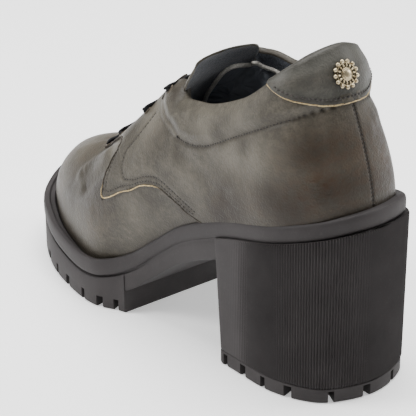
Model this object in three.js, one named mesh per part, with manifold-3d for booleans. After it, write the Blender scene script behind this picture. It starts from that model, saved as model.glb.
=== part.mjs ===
// Low-cut laced derby shoe on a high block heel, the left shoe of a pair, standing empty.
// Millimetres. +Z up, toe towards -Y, lateral side (outside of the foot) towards +X.
// The origin is on the floor, in the middle of the shoe's length and width.
// Inside the functions a place along the shoe is "along": mm from the back edge towards the toe.

import * as THREE from 'three';
import { mergeVertices } from 'three/addons/utils/BufferGeometryUtils.js';
import Module from 'manifold-3d';

const wasm = await Module();
wasm.setup();

// Driving dimensions of the last and the sole
const SOLE_LENGTH = 258;
const BALL_WIDTH = 92;
const HEEL_WIDTH = 73;
const HEEL_RISE = 93.8;
const PLATFORM = 25.4;
const TOE_SPRING = 9;
const SPRING_START = 0.775;
const COLLAR_RISE = 69.5;
const INSTEP_RISE = 95;

// Sole edge: a smooth lip over a groove, and a side wall under it
const LIP_HEIGHT = 8.8;
const LIP_ROUND = 0.8;
const GROOVE_DEPTH = 2.4;
const GROOVE_HEIGHT = 1.6;
const SEAT_DEPTH = 3.2;
const WAIST_SIDE = 11.5;
const CHANNEL_DEPTH = 1.3;

// Heel block: the lower part of the unit sole, proud of the lip and ribbed
const HEEL_LENGTH = 70.4;
const HEEL_PROUD = 1.3;
const HEEL_TAPER = 1;
const BREAST_SLOPE = 3;
const BREAST_CORNER = 3;
const HEEL_FOOT = 7.5;
const FOOT_ROUND = 1.2;
const RIB_PITCH = 1.75;
const RIB_DEPTH = 0.55;

// Tread: notches round the edge and shallow cells inside a plain border
const TREAD_START = 141;
const TREAD_INSET = 0.5;
const NOTCH_HEIGHT = 5.5;
const NOTCH_REACH = 7;
const CELL_DEPTH = 3;
const CELL_BORDER = 11;
const CELL_LENGTH = 14;
const CELL_BAR = 6;

// Upper, insole and tongue
const WALL = 2.2;
const QUARTER_STEP = 1.1;
const COLLAR_HEIGHT = 20;
const COLLAR_PUFF = 1.6;
const COLLAR_PAD = 2.6;
const GAP = 0.3;
const INSOLE_THICK = 3;
const TONGUE_THICK = 2.6;
const TONGUE_WIDTH = 46;
const TAB_THICK = 1.5;

// Laces and the stud on the tab
const LACE_WIDTH = 4.6;
const LACE_THICK = 2.2;
const EYELET_BORE = 4.6;
const EYELET_INSET = 6;
const EYELET_ROWS = 4;
const STUD_DIAMETER = 13.6;
const STUD_BEADS = 13;
const STUD_DISC = 1.5;
const STUD_DOME = 1.7;
const STUD_SPOT = { place: 0.25, rise: 0.84 };

// Mesh density
const STEPS = 3;
const WALL_STEPS = 8;
const LINING_STEPS = 4;

// Height of the lip's top along the shoe: share of the drop from heel to platform
const RISE = [
  { along: 0, share: 1 },
  { along: 0.12, share: 0.872 },
  { along: 0.271, share: 0.716 },
  { along: 0.388, share: 0.528 },
  { along: 0.465, share: 0.322 },
  { along: 0.53, share: 0.137 },
  { along: 0.58, share: 0.043 },
  { along: 0.62, share: 0.011 },
  { along: 0.66, share: 0.002 },
  { along: 0.736, share: 0.016 },
  { along: 0.806, share: 0.037 },
  { along: 0.86, share: 0.05 },
  { along: 0.93, share: 0.038 },
  { along: 1, share: 0.02 },
];

// Plan of the lip and width of the ledge left outside the upper. Widths are shares of HEEL_WIDTH
// or BALL_WIDTH, the ledge is in mm. The rows run round the shoe: back, lateral side, toe, medial.
const OUTLINE = [
  { name: 'back', along: 0, across: 0, of: HEEL_WIDTH, ledge: 5.2 },
  { name: 'counterLateral', along: 0.0132, across: 0.218, of: HEEL_WIDTH, ledge: 4.4 },
  { name: 'cornerLateral', along: 0.046, across: 0.388, of: HEEL_WIDTH, ledge: 3.2 },
  { name: 'heelLateral', along: 0.126, across: 0.496, of: HEEL_WIDTH, ledge: 2.4 },
  { name: 'breastLateral', along: 0.24, across: 0.49, of: HEEL_WIDTH, ledge: 2.2 },
  { name: 'shankLateral', along: 0.36, across: 0.482, of: HEEL_WIDTH, ledge: 2.2 },
  { name: 'waistLateral', along: 0.465, across: 0.39, of: BALL_WIDTH, ledge: 2.4 },
  { name: 'jointLateral', along: 0.552, across: 0.43, of: BALL_WIDTH, ledge: 3.2 },
  { name: 'ballLateral', along: 0.618, across: 0.497, of: BALL_WIDTH, ledge: 5 },
  { name: 'frontLateral', along: 0.715, across: 0.465, of: BALL_WIDTH, ledge: 6 },
  { name: 'toeLateral', along: 0.83, across: 0.362, of: BALL_WIDTH, ledge: 7 },
  { name: 'tipLateral', along: 0.932, across: 0.18, of: BALL_WIDTH, ledge: 7.4 },
  { name: 'toe', along: 1, across: -0.13, of: BALL_WIDTH, ledge: 7.6 },
  { name: 'tipMedial', along: 0.962, across: -0.37, of: BALL_WIDTH, ledge: 7 },
  { name: 'toeMedial', along: 0.87, across: -0.47, of: BALL_WIDTH, ledge: 6 },
  { name: 'frontMedial', along: 0.75, across: -0.503, of: BALL_WIDTH, ledge: 5 },
  { name: 'ballMedial', along: 0.64, across: -0.462, of: BALL_WIDTH, ledge: 4 },
  { name: 'jointMedial', along: 0.55, across: -0.37, of: BALL_WIDTH, ledge: 3.2 },
  { name: 'waistMedial', along: 0.457, across: -0.315, of: BALL_WIDTH, ledge: 2.8 },
  { name: 'shankMedial', along: 0.36, across: -0.41, of: HEEL_WIDTH, ledge: 3 },
  { name: 'breastMedial', along: 0.24, across: -0.475, of: HEEL_WIDTH, ledge: 4 },
  { name: 'heelMedial', along: 0.126, across: -0.496, of: HEEL_WIDTH, ledge: 5.2 },
  { name: 'cornerMedial', along: 0.046, across: -0.388, of: HEEL_WIDTH, ledge: 6 },
  { name: 'counterMedial', along: 0.0132, across: -0.218, of: HEEL_WIDTH, ledge: 5.8 },
];

// Top edge of the upper, one row for each row of OUTLINE: its place as shares of SOLE_LENGTH and
// HEEL_WIDTH, and its rise over the lip as a share of COLLAR_RISE or INSTEP_RISE.
const TOP = [
  { name: 'back', along: 0.117, across: 0, rise: 0.98, of: COLLAR_RISE },
  { name: 'counterLateral', along: 0.122, across: 0.16, rise: 0.972, of: COLLAR_RISE },
  { name: 'cornerLateral', along: 0.133, across: 0.305, rise: 0.95, of: COLLAR_RISE },
  { name: 'heelLateral', along: 0.17, across: 0.376, rise: 0.91, of: COLLAR_RISE },
  { name: 'breastLateral', along: 0.236, across: 0.39, rise: 0.845, of: COLLAR_RISE },
  { name: 'shankLateral', along: 0.335, across: 0.36, rise: 0.865, of: COLLAR_RISE },
  { name: 'waistLateral', along: 0.43, across: 0.275, rise: 1.05, of: COLLAR_RISE },
  { name: 'jointLateral', along: 0.476, across: 0.18, rise: 0.996, of: INSTEP_RISE },
  { name: 'ballLateral', along: 0.572, across: 0.15, rise: 0.83, of: INSTEP_RISE },
  { name: 'frontLateral', along: 0.676, across: 0.12, rise: 0.565, of: INSTEP_RISE },
  { name: 'toeLateral', along: 0.712, across: 0.085, rise: 0.472, of: INSTEP_RISE },
  { name: 'tipLateral', along: 0.724, across: 0.045, rise: 0.428, of: INSTEP_RISE },
  { name: 'toe', along: 0.729, across: 0.008, rise: 0.39, of: INSTEP_RISE },
  { name: 'tipMedial', along: 0.726, across: -0.035, rise: 0.412, of: INSTEP_RISE },
  { name: 'toeMedial', along: 0.716, across: -0.08, rise: 0.46, of: INSTEP_RISE },
  { name: 'frontMedial', along: 0.68, across: -0.12, rise: 0.565, of: INSTEP_RISE },
  { name: 'ballMedial', along: 0.578, across: -0.17, rise: 0.83, of: INSTEP_RISE },
  { name: 'jointMedial', along: 0.45, across: -0.24, rise: 1.083, of: INSTEP_RISE },
  { name: 'waistMedial', along: 0.4, across: -0.33, rise: 1.21, of: COLLAR_RISE },
  { name: 'shankMedial', along: 0.33, across: -0.37, rise: 0.97, of: COLLAR_RISE },
  { name: 'breastMedial', along: 0.24, across: -0.385, rise: 0.885, of: COLLAR_RISE },
  { name: 'heelMedial', along: 0.19, across: -0.335, rise: 0.9, of: COLLAR_RISE },
  { name: 'cornerMedial', along: 0.152, across: -0.25, rise: 0.925, of: COLLAR_RISE },
  { name: 'counterMedial', along: 0.127, across: -0.13, rise: 0.957, of: COLLAR_RISE },
];

// How the wall bends between its foot and its top edge, one row for each row of OUTLINE:
// the two handles of its curve, as shares of the wall's own height.
const BEND = [
  { name: 'back', footUp: 0.4, footOut: -0.04, topOut: 0.12, topDown: 0.34 },
  { name: 'counterLateral', footUp: 0.4, footOut: -0.03, topOut: 0.1, topDown: 0.34 },
  { name: 'cornerLateral', footUp: 0.4, footOut: 0, topOut: 0.09, topDown: 0.34 },
  { name: 'heelLateral', footUp: 0.4, footOut: 0.05, topOut: 0.08, topDown: 0.34 },
  { name: 'breastLateral', footUp: 0.4, footOut: 0.07, topOut: 0.1, topDown: 0.34 },
  { name: 'shankLateral', footUp: 0.4, footOut: 0.08, topOut: 0.16, topDown: 0.32 },
  { name: 'waistLateral', footUp: 0.4, footOut: 0.1, topOut: 0.23, topDown: 0.27 },
  { name: 'jointLateral', footUp: 0.4, footOut: 0.1, topOut: 0.25, topDown: 0.24 },
  { name: 'ballLateral', footUp: 0.42, footOut: 0.08, topOut: 0.35, topDown: 0.19 },
  { name: 'frontLateral', footUp: 0.46, footOut: 0.08, topOut: 0.42, topDown: 0.14 },
  { name: 'toeLateral', footUp: 0.46, footOut: 0.06, topOut: 0.5, topDown: 0.1 },
  { name: 'tipLateral', footUp: 0.44, footOut: 0.04, topOut: 0.62, topDown: 0.1 },
  { name: 'toe', footUp: 0.42, footOut: 0.03, topOut: 0.69, topDown: 0.1 },
  { name: 'tipMedial', footUp: 0.44, footOut: 0.03, topOut: 0.66, topDown: 0.1 },
  { name: 'toeMedial', footUp: 0.46, footOut: 0.04, topOut: 0.56, topDown: 0.1 },
  { name: 'frontMedial', footUp: 0.48, footOut: 0.06, topOut: 0.46, topDown: 0.12 },
  { name: 'ballMedial', footUp: 0.44, footOut: 0.06, topOut: 0.36, topDown: 0.16 },
  { name: 'jointMedial', footUp: 0.4, footOut: 0.04, topOut: 0.26, topDown: 0.2 },
  { name: 'waistMedial', footUp: 0.4, footOut: 0.04, topOut: 0.18, topDown: 0.28 },
  { name: 'shankMedial', footUp: 0.4, footOut: 0.06, topOut: 0.12, topDown: 0.34 },
  { name: 'breastMedial', footUp: 0.4, footOut: 0.07, topOut: 0.08, topDown: 0.34 },
  { name: 'heelMedial', footUp: 0.4, footOut: 0.05, topOut: 0.08, topDown: 0.34 },
  { name: 'cornerMedial', footUp: 0.4, footOut: 0, topOut: 0.09, topDown: 0.34 },
  { name: 'counterMedial', footUp: 0.4, footOut: -0.03, topOut: 0.1, topDown: 0.34 },
];

// Edge of the quarters seen from the side, from the throat down to the wing's tip and back to
// the lip: share of SOLE_LENGTH, and share of INSTEP_RISE over the platform
const WING = [
  { along: 0.735, rise: 0.53 },
  { along: 0.723, rise: 0.485 },
  { along: 0.69, rise: 0.496 },
  { along: 0.651, rise: 0.522 },
  { along: 0.62, rise: 0.522 },
  { along: 0.6, rise: 0.48 },
  { along: 0.594, rise: 0.42 },
  { along: 0.595, rise: 0.362 },
  { along: 0.57, rise: 0.406 },
  { along: 0.519, rise: 0.48 },
  { along: 0.473, rise: 0.543 },
  { along: 0.434, rise: 0.564 },
  { along: 0.395, rise: 0.564 },
  { along: 0.36, rise: 0.533 },
  { along: 0.33, rise: 0.501 },
];

// Lower edge of the heel tab seen from the side: share of SOLE_LENGTH from the back, and share
// of COLLAR_RISE over the heel's lip
const TAB = [
  { along: -0.02, rise: 0.69 },
  { along: 0.054, rise: 0.69 },
  { along: 0.078, rise: 0.687 },
  { along: 0.105, rise: 0.697 },
  { along: 0.135, rise: 0.73 },
  { along: 0.164, rise: 0.785 },
];

// Tongue from its end under the vamp to its free top edge. rise is a share of INSTEP_RISE over
// the platform, shift and width are shares of TONGUE_WIDTH, arch a share of the half width.
const TONGUE = [
  { along: 0.77, rise: 0.395, shift: -0.02, width: 0.62, arch: 0.3 },
  { along: 0.728, rise: 0.425, shift: -0.02, width: 0.7, arch: 0.36 },
  { along: 0.65, rise: 0.58, shift: -0.02, width: 0.74, arch: 0.46 },
  { along: 0.56, rise: 0.785, shift: -0.03, width: 0.74, arch: 0.48 },
  { along: 0.475, rise: 0.99, shift: -0.04, width: 0.68, arch: 0.42 },
  { along: 0.45, rise: 1.07, shift: -0.05, width: 0.63, arch: 0.3 },
  { along: 0.43, rise: 1.133, shift: -0.05, width: 0.66, arch: 0.2 },
  { along: 0.412, rise: 1.185, shift: -0.04, width: 0.78, arch: 0.17 },
  { along: 0.394, rise: 1.228, shift: -0.04, width: 0.8, arch: 0.17 },
  { along: 0.383, rise: 1.25, shift: -0.04, width: 0.54, arch: 0.16 },
];

// Notches of the heel's and the forefoot's tread, as places between the rows of OUTLINE
const HEEL_NOTCHES = [4.1, 3.67, 3.18, 2.6, 1.45, 0.3, -0.85, -2, -2.8, -3.35, -3.85];
const TREAD_NOTCHES = [
  7.2, 7.75, 8.38, 9.05, 9.55, 10.07, 10.6, 11.2, 12.1, 13, 13.6, 14.15, 14.65, 15.2, 15.8, 16.4,
];

const ROWS = OUTLINE.length;
const STATIONS = ROWS * STEPS;
const TOE_ROW = ROWS / 2;
const JOINT_ROW = 7;
const FRONT_ROW = 9;
const BREAST_ROW = 4;

// Curves through the tables
function rowCurve(before, from, to, after, f) {
  const bend = 2 * before - 5 * from + 4 * to - after;
  const twist = 3 * (from - to) + after - before;
  return from + 0.5 * f * (to - before + f * (bend + f * twist));
}

function around(rows, column, s) {
  const i = Math.floor(s);
  const value = (step) => column(rows[(((i + step) % ROWS) + ROWS) % ROWS]);
  return rowCurve(value(-1), value(0), value(1), value(2), s - i);
}

// A smooth function of a table whose rows are sorted by along
function through(rows, column, along) {
  const last = rows.length - 1;
  const here = Math.min(Math.max(along, rows[0].along), rows[last].along);
  const i = Math.min(rows.findLastIndex((row) => row.along <= here), last - 1);
  const slope = (k) => (rows[k + 1][column] - rows[k][column]) / (rows[k + 1].along - rows[k].along);
  const lean = (k) => {
    if (k === 0 || k === last || slope(k - 1) * slope(k) <= 0) return 0;
    return (2 * slope(k - 1) * slope(k)) / (slope(k - 1) + slope(k));
  };
  const start = i === 0 ? slope(0) : lean(i);
  const span = rows[i + 1].along - rows[i].along;
  const f = (here - rows[i].along) / span;
  const from = rows[i][column];
  const to = rows[i + 1][column];
  const ease = f * f * (3 - 2 * f);
  return from + (to - from) * ease + span * f * (1 - f) * (start * (1 - f) - lean(i + 1) * f);
}

// Heights of the sole along the shoe
function springAt(along) {
  const start = SPRING_START * SOLE_LENGTH;
  return TOE_SPRING * Math.max(0, (along - start) / (SOLE_LENGTH - start)) ** 2;
}

function lipTopAt(along) {
  const drop = through(RISE, 'share', along / SOLE_LENGTH);
  return PLATFORM + (HEEL_RISE - PLATFORM) * drop + springAt(along);
}

const lipFootAt = (along) => lipTopAt(along) - LIP_HEIGHT;

// Plan of the lip: a point, and the outward direction there
function planPoint(s) {
  const along = around(OUTLINE, (row) => row.along * SOLE_LENGTH, s);
  const across = around(OUTLINE, (row) => row.across * row.of, s);
  return new THREE.Vector3(across, -along, 0);
}

function outwardAt(s) {
  const nearby = 0.05;
  const way = planPoint(s + nearby).sub(planPoint(s - nearby)).normalize();
  return new THREE.Vector3(-way.y, way.x, 0);
}

function insetPoint(s, inset, heightAt) {
  const point = planPoint(s).addScaledVector(outwardAt(s), -inset);
  point.z = heightAt(-planPoint(s).y);
  return point;
}

const ledgeAt = (s) => around(OUTLINE, (row) => row.ledge, s);

function planRing(insetAt, heightAt, rows = STATIONS) {
  return Array.from({ length: rows }, (_, i) => {
    const s = (i * ROWS) / rows;
    return insetPoint(s, insetAt(s), heightAt);
  });
}

// Wall of the upper: a point on its outer skin, and the outward direction there.
// s runs round the shoe in rows of OUTLINE, t from the foot (0) to the top edge (1).
const wallCurves = new Map();

function wallCurve(s) {
  if (wallCurves.has(s)) return wallCurves.get(s);
  const bend = (column) => around(BEND, (row) => row[column], s);
  const foot = insetPoint(s, ledgeAt(s), lipTopAt);
  const top = new THREE.Vector3(
    around(TOP, (row) => row.across * HEEL_WIDTH, s),
    -around(TOP, (row) => row.along * SOLE_LENGTH, s),
    foot.z + around(TOP, (row) => row.rise * row.of, s),
  );
  foot.z += GAP - SEAT_DEPTH;
  const height = top.z - foot.z;
  const out = outwardAt(s);
  const low = foot.clone().addScaledVector(out, bend('footOut') * height);
  low.z += bend('footUp') * height;
  const high = top.clone().addScaledVector(out, bend('topOut') * height);
  high.z -= bend('topDown') * height;
  const curve = new THREE.CubicBezierCurve3(foot, low, high, top);
  wallCurves.set(s, curve);
  return curve;
}

const wallPoint = (s, t) => wallCurve(s).getPoint(t);
const wallHeight = (s) => wallCurve(s).v3.z - wallCurve(s).v0.z;

function wallOut(s, t) {
  const nearby = 0.02;
  const up = wallPoint(s, t + nearby).sub(wallPoint(s, t - nearby));
  return up.cross(wallPoint(s + nearby, t).sub(wallPoint(s - nearby, t))).normalize();
}

const skinPoint = (s, t, offset) => wallPoint(s, t).addScaledVector(wallOut(s, t), offset);

// The padded collar: 0 at its edges, 1 in its middle
function collarAt(s, t) {
  const fromBack = Math.min(s, ROWS - s);
  const zone = 1 - THREE.MathUtils.smoothstep(fromBack, JOINT_ROW - 0.8, JOINT_ROW + 0.2);
  const down = Math.min(1, ((1 - t) * wallHeight(s)) / COLLAR_HEIGHT);
  return zone * Math.sin(Math.PI * down);
}

// Closed meshes from rings of points
function meshFrom(points, faces) {
  const geometry = new THREE.BufferGeometry();
  const positions = points.flatMap((point) => [point.x, point.y, point.z]);
  geometry.setAttribute('position', new THREE.Float32BufferAttribute(positions, 3));
  const volume = faces.reduce((sum, [a, b, c]) => {
    return sum + points[a].dot(points[b].clone().cross(points[c]));
  }, 0);
  geometry.setIndex(faces.flatMap(([a, b, c]) => (volume > 0 ? [a, b, c] : [a, c, b])));
  return geometry;
}

function sideFaces(rings, closed) {
  const count = rings[0].length;
  const faces = [];
  const bands = closed ? rings.length : rings.length - 1;
  for (let k = 0; k < bands; k += 1) {
    const low = k * count;
    const high = ((k + 1) % rings.length) * count;
    for (let i = 0; i < count; i += 1) {
      const next = (i + 1) % count;
      faces.push([low + i, high + i, high + next], [low + i, high + next, low + next]);
    }
  }
  return faces;
}

// A cap of strips across the ring, from its first point to the one opposite
function capFaces(first, count, flip) {
  const faces = [];
  for (let i = 0; i < count / 2; i += 1) {
    const [a, b] = [first + i, first + i + 1];
    const [c, d] = [first + count - i - 1, first + ((count - i) % count)];
    if (b !== c) faces.push([a, b, c]);
    if (a !== d) faces.push([a, c, d]);
  }
  return flip ? faces.map(([a, b, c]) => [a, c, b]) : faces;
}

function solidOfRings(rings) {
  const count = rings[0].length;
  const top = (rings.length - 1) * count;
  const faces = [
    ...sideFaces(rings, false),
    ...capFaces(0, count, false),
    ...capFaces(top, count, true),
  ];
  return solid(meshFrom(rings.flat(), faces));
}

const tubeOfRings = (rings) => solid(meshFrom(rings.flat(), sideFaces(rings, true)));

// Solids that can be joined and cut
function solid(geometry) {
  const plain = geometry.clone();
  plain.deleteAttribute('normal');
  plain.deleteAttribute('uv');
  const merged = mergeVertices(plain, 1e-4);
  const mesh = new wasm.Mesh({
    numProp: 3,
    vertProperties: new Float32Array(merged.attributes.position.array),
    triVerts: new Uint32Array(merged.index.array),
  });
  return new wasm.Manifold(mesh);
}

function geometryOf(manifold) {
  const mesh = manifold.getMesh();
  const geometry = new THREE.BufferGeometry();
  geometry.setAttribute('position', new THREE.BufferAttribute(mesh.vertProperties, 3));
  geometry.setIndex(new THREE.BufferAttribute(mesh.triVerts, 1));
  geometry.computeVertexNormals();
  return geometry;
}

const joined = (solids) => solids.reduce((sum, next) => sum.add(next));

function placed(geometry, matrix) {
  return solid(geometry.clone().applyMatrix4(matrix));
}

// A box between two places along the shoe, as wide and high as anything in it
function slabBetween(from, to) {
  const box = new THREE.BoxGeometry(2 * BALL_WIDTH, to - from, 4 * HEEL_RISE);
  return solid(box.translate(0, -(from + to) / 2, 0));
}

// A prism through the whole width from an outline seen from the side
function sidePrism(outline) {
  const shape = new THREE.Shape(outline.map(({ along, height }) => new THREE.Vector2(along, height)));
  const prism = new THREE.ExtrudeGeometry(shape, { depth: 2 * BALL_WIDTH, bevelEnabled: false });
  const axes = new THREE.Matrix4().makeBasis(
    new THREE.Vector3(0, -1, 0),
    new THREE.Vector3(0, 0, 1),
    new THREE.Vector3(-1, 0, 0),
  );
  return placed(prism.applyMatrix4(axes), new THREE.Matrix4().makeTranslation(BALL_WIDTH, 0, 0));
}

// Unit sole: lip, groove and side wall over the whole plan
function soleSlab() {
  const under = (along) => lipFootAt(along) - WAIST_SIDE;
  const grooveAt = (s) => {
    const along = -planPoint(s).y;
    const deep = THREE.MathUtils.smoothstep(along, TREAD_START - 25, TREAD_START + 15);
    return 1.4 + (GROOVE_DEPTH - 1.4) * deep;
  };
  const seatEdge = (s) => ledgeAt(s) - GAP;
  const seatMouth = (s) => ledgeAt(s) - 4 * GAP;
  const channelEdge = (s) => LIP_ROUND + 0.3 * (seatMouth(s) - LIP_ROUND);
  const channelFoot = (s) => LIP_ROUND + 0.5 * (seatMouth(s) - LIP_ROUND);
  const channelAt = (along) => {
    const deep = THREE.MathUtils.smoothstep(along, TREAD_START - 12, TREAD_START + 15);
    return lipTopAt(along) - CHANNEL_DEPTH * deep;
  };
  return solidOfRings([
    planRing(() => 2, under),
    planRing(() => 1.1, (along) => lipFootAt(along) - GROOVE_HEIGHT),
    planRing(grooveAt, lipFootAt),
    planRing(() => LIP_ROUND, (along) => lipFootAt(along) + 0.1 * LIP_HEIGHT),
    planRing(() => 0, (along) => lipFootAt(along) + 0.35 * LIP_HEIGHT),
    planRing(() => 0, (along) => lipFootAt(along) + 0.8 * LIP_HEIGHT),
    planRing(() => LIP_ROUND, lipTopAt),
    planRing(channelEdge, lipTopAt),
    planRing(channelFoot, channelAt),
    planRing(seatMouth, channelAt),
    planRing(seatEdge, (along) => lipTopAt(along) - SEAT_DEPTH),
  ]);
}

// Places along the heel's edge, from the medial breast round the back to the lateral one
function heelEdge(proud, breast, pitch) {
  const fine = 0.05;
  const path = [];
  for (let s = -BREAST_ROW - 1; s <= BREAST_ROW + 1; s += fine) {
    const point = planPoint(s).addScaledVector(outwardAt(s), proud);
    if (-point.y <= breast - BREAST_CORNER) path.push(point);
  }
  const curve = new THREE.CatmullRomCurve3(path);
  const parts = 2 * Math.round(curve.getLength() / (2 * pitch));
  curve.arcLengthDivisions = 10 * parts;
  return curve.getSpacedPoints(parts);
}

// One ring of the heel block: its edge with its ribs, and the flat breast face
function heelRing(edge, proud, breast, ribs, heightAt) {
  const middle = edge.length / 2;
  const ring = edge.map((point, i) => {
    const end = Math.min(i, edge.length - 1 - i);
    const rib = i % 2 === 0 || end < 4 ? 0 : ribs;
    const ahead = edge[Math.min(i + 1, edge.length - 1)];
    const behind = edge[Math.max(i - 1, 0)];
    const way = ahead.clone().sub(behind).normalize();
    return point.clone().add(new THREE.Vector3(-way.y, way.x, 0).multiplyScalar(proud + rib));
  });
  const corner = (point, side) => [
    new THREE.Vector3(point.x - side * 0.3 * BREAST_CORNER, -(breast - 0.3 * BREAST_CORNER), 0),
    new THREE.Vector3(point.x - side * BREAST_CORNER, -breast, 0),
  ];
  const lateral = corner(ring[ring.length - 1], 1);
  const medial = corner(ring[0], -1).reverse();
  ring.push(...lateral, ...medial);
  ring.forEach((point) => point.setZ(heightAt(-point.y)));
  return rotated(ring, Math.floor(middle));
}

const rotated = (ring, first) => [...ring.slice(first), ...ring.slice(0, first)];

function heelBlock() {
  const top = (along) => lipFootAt(along) + 0.04 * LIP_HEIGHT;
  const foot = HEEL_LENGTH;
  const footProud = HEEL_PROUD - HEEL_TAPER;
  const plainEdge = heelEdge(0, HEEL_LENGTH, 5 * RIB_PITCH);
  const plain = solidOfRings([
    heelRing(plainEdge, footProud - FOOT_ROUND, foot - FOOT_ROUND, 0, () => 0),
    heelRing(plainEdge, footProud, foot, 0, () => FOOT_ROUND),
    heelRing(plainEdge, footProud, foot, 0, () => HEEL_FOOT + 1),
  ]);
  const ribEdge = heelEdge(0, HEEL_LENGTH, RIB_PITCH / 2);
  const ribbed = solidOfRings([
    heelRing(ribEdge, footProud - 1.2 * RIB_DEPTH, foot, RIB_DEPTH, () => HEEL_FOOT),
    heelRing(ribEdge, HEEL_PROUD, foot + BREAST_SLOPE, RIB_DEPTH, top),
  ]);
  return plain.add(ribbed);
}

function forefootTread() {
  const block = solidOfRings([
    planRing(() => TREAD_INSET + FOOT_ROUND, springAt),
    planRing(() => TREAD_INSET, (along) => springAt(along) + FOOT_ROUND),
    planRing(() => TREAD_INSET, (along) => lipFootAt(along) - GROOVE_HEIGHT),
  ]);
  return block.intersect(slabBetween(TREAD_START, 2 * SOLE_LENGTH));
}

// Notches round the tread's edge, at places given in rows of OUTLINE, every other one wider
function notches(places) {
  return places.map((s, k) => {
    const width = k % 2 === 0 ? 2.2 : 3.4;
    const edge = planPoint(s);
    const height = 2 * (springAt(-edge.y) + NOTCH_HEIGHT);
    const out = outwardAt(s);
    const turn = new THREE.Matrix4().makeRotationZ(Math.atan2(out.y, out.x));
    return placed(new THREE.BoxGeometry(2 * NOTCH_REACH, width, height), turn.setPosition(edge));
  });
}

// Shallow cells between cross bars, inside a plain border
function cells(from, to) {
  const field = solidOfRings([
    planRing(() => CELL_BORDER, () => -CELL_DEPTH),
    planRing(() => CELL_BORDER, (along) => springAt(along) + CELL_DEPTH),
  ]);
  const strips = [];
  for (let along = from; along + CELL_LENGTH <= to; along += CELL_LENGTH + CELL_BAR) {
    strips.push(slabBetween(along, along + CELL_LENGTH));
  }
  return field.intersect(joined(strips));
}

function sole() {
  const body = joined([soleSlab(), heelBlock(), forefootTread()]);
  const cuts = [
    ...notches(HEEL_NOTCHES),
    ...notches(TREAD_NOTCHES),
    cells(CELL_BORDER, HEEL_LENGTH - CELL_BORDER + CELL_BAR),
    cells(TREAD_START + CELL_BAR, SOLE_LENGTH - CELL_BORDER),
  ];
  return body.subtract(joined(cuts));
}

// Upper: one hollow wall, with a padded collar and a step where the quarters lie on the vamp
function wallSolid(outerAt, innerAt, rise, innerSteps = LINING_STEPS) {
  const ring = (t, offsetAt) => Array.from({ length: STATIONS }, (_, i) => {
    return skinPoint(i / STEPS, t, offsetAt(i / STEPS, t));
  });
  const rings = [];
  for (let k = 0; k <= WALL_STEPS; k += 1) rings.push(ring(k / WALL_STEPS, outerAt));
  if (rise > 0) {
    rings.push(Array.from({ length: STATIONS }, (_, i) => {
      const s = i / STEPS;
      return skinPoint(s, 1 + rise / wallHeight(s), (outerAt(s, 1) + innerAt(s, 1)) / 2);
    }));
  }
  for (let k = innerSteps; k >= 0; k -= 1) rings.push(ring(k / innerSteps, innerAt));
  return tubeOfRings(rings);
}

const wallFace = (s, t) => COLLAR_PUFF * collarAt(s, t);
const liningFace = (s, t) => -WALL - COLLAR_PAD * collarAt(s, t);
const quarterFace = (s, t) => QUARTER_STEP + wallFace(s, t);

function quarterOutline() {
  const edge = WING.map(({ along, rise }) => ({
    along: along * SOLE_LENGTH,
    height: PLATFORM + rise * INSTEP_RISE,
  }));
  const meet = edge[edge.length - 1].along;
  const foot = Array.from({ length: 9 }, (_, k) => {
    const along = meet - 4 - (k * (meet + 6)) / 8;
    return { along, height: lipTopAt(along) + GAP };
  });
  const above = 3 * HEEL_RISE;
  const behind = foot[foot.length - 1].along;
  return [...edge, ...foot, { along: behind, height: above }, { along: edge[0].along, height: above }];
}

function facingPoint(side, share, offset) {
  const s = side * (FRONT_ROW + 0.6 - share * (FRONT_ROW + 0.6 - JOINT_ROW));
  const around = side > 0 ? s : ROWS + s;
  const curve = wallCurve(around);
  const t = 1 - EYELET_INSET / curve.getLength();
  return { point: skinPoint(around, t, offset), out: wallOut(around, t) };
}

const eyeletShare = (row) => 0.07 + (0.84 * row) / (EYELET_ROWS - 1);

function eyeletBores() {
  const bores = [];
  for (let row = 0; row < EYELET_ROWS; row += 1) {
    for (const side of [1, -1]) {
      const { point, out } = facingPoint(side, eyeletShare(row), 0);
      const bore = new THREE.CylinderGeometry(EYELET_BORE / 2, EYELET_BORE / 2, 6 * WALL, 6);
      const turn = new THREE.Quaternion().setFromUnitVectors(new THREE.Vector3(0, 1, 0), out);
      bores.push(placed(bore, new THREE.Matrix4().compose(point, turn, new THREE.Vector3(1, 1, 1))));
    }
  }
  return joined(bores);
}

function upper() {
  const wall = wallSolid(wallFace, liningFace, WALL / 3);
  const quarter = wallSolid(quarterFace, (s, t) => wallFace(s, t) - 0.75 * WALL, 0);
  const overlay = quarter.intersect(sidePrism(quarterOutline()));
  return wall.add(overlay).subtract(eyeletBores());
}

// Heel tab: a saddle over the back of the collar, cut from between two larger forms
function heelTab() {
  const inner = (s, t) => quarterFace(s, t) + 2 * GAP;
  const form = wallSolid((s, t) => inner(s, t) + TAB_THICK, inner, 0, WALL_STEPS);
  const edge = TAB.map(({ along, rise }) => ({
    along: along * SOLE_LENGTH,
    height: HEEL_RISE + rise * COLLAR_RISE,
  }));
  const above = 3 * HEEL_RISE;
  const front = { along: edge[edge.length - 1].along, height: above };
  return form.intersect(sidePrism([...edge, front, { along: edge[0].along, height: above }]));
}

// Insole: a shaped sheet on the seat, inside the upper's wall
function insole() {
  const rows = STATIONS / 2;
  const insetAt = (extra) => (s) => ledgeAt(s) + WALL + 5 * GAP + extra;
  const height = (rise) => (along) => lipTopAt(along) - SEAT_DEPTH + 2 * GAP + rise;
  return solidOfRings([
    planRing(insetAt(0), height(0), rows),
    planRing(insetAt(0), height(0.7 * INSOLE_THICK), rows),
    planRing(insetAt(0.8), height(INSOLE_THICK), rows),
  ]);
}

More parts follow.
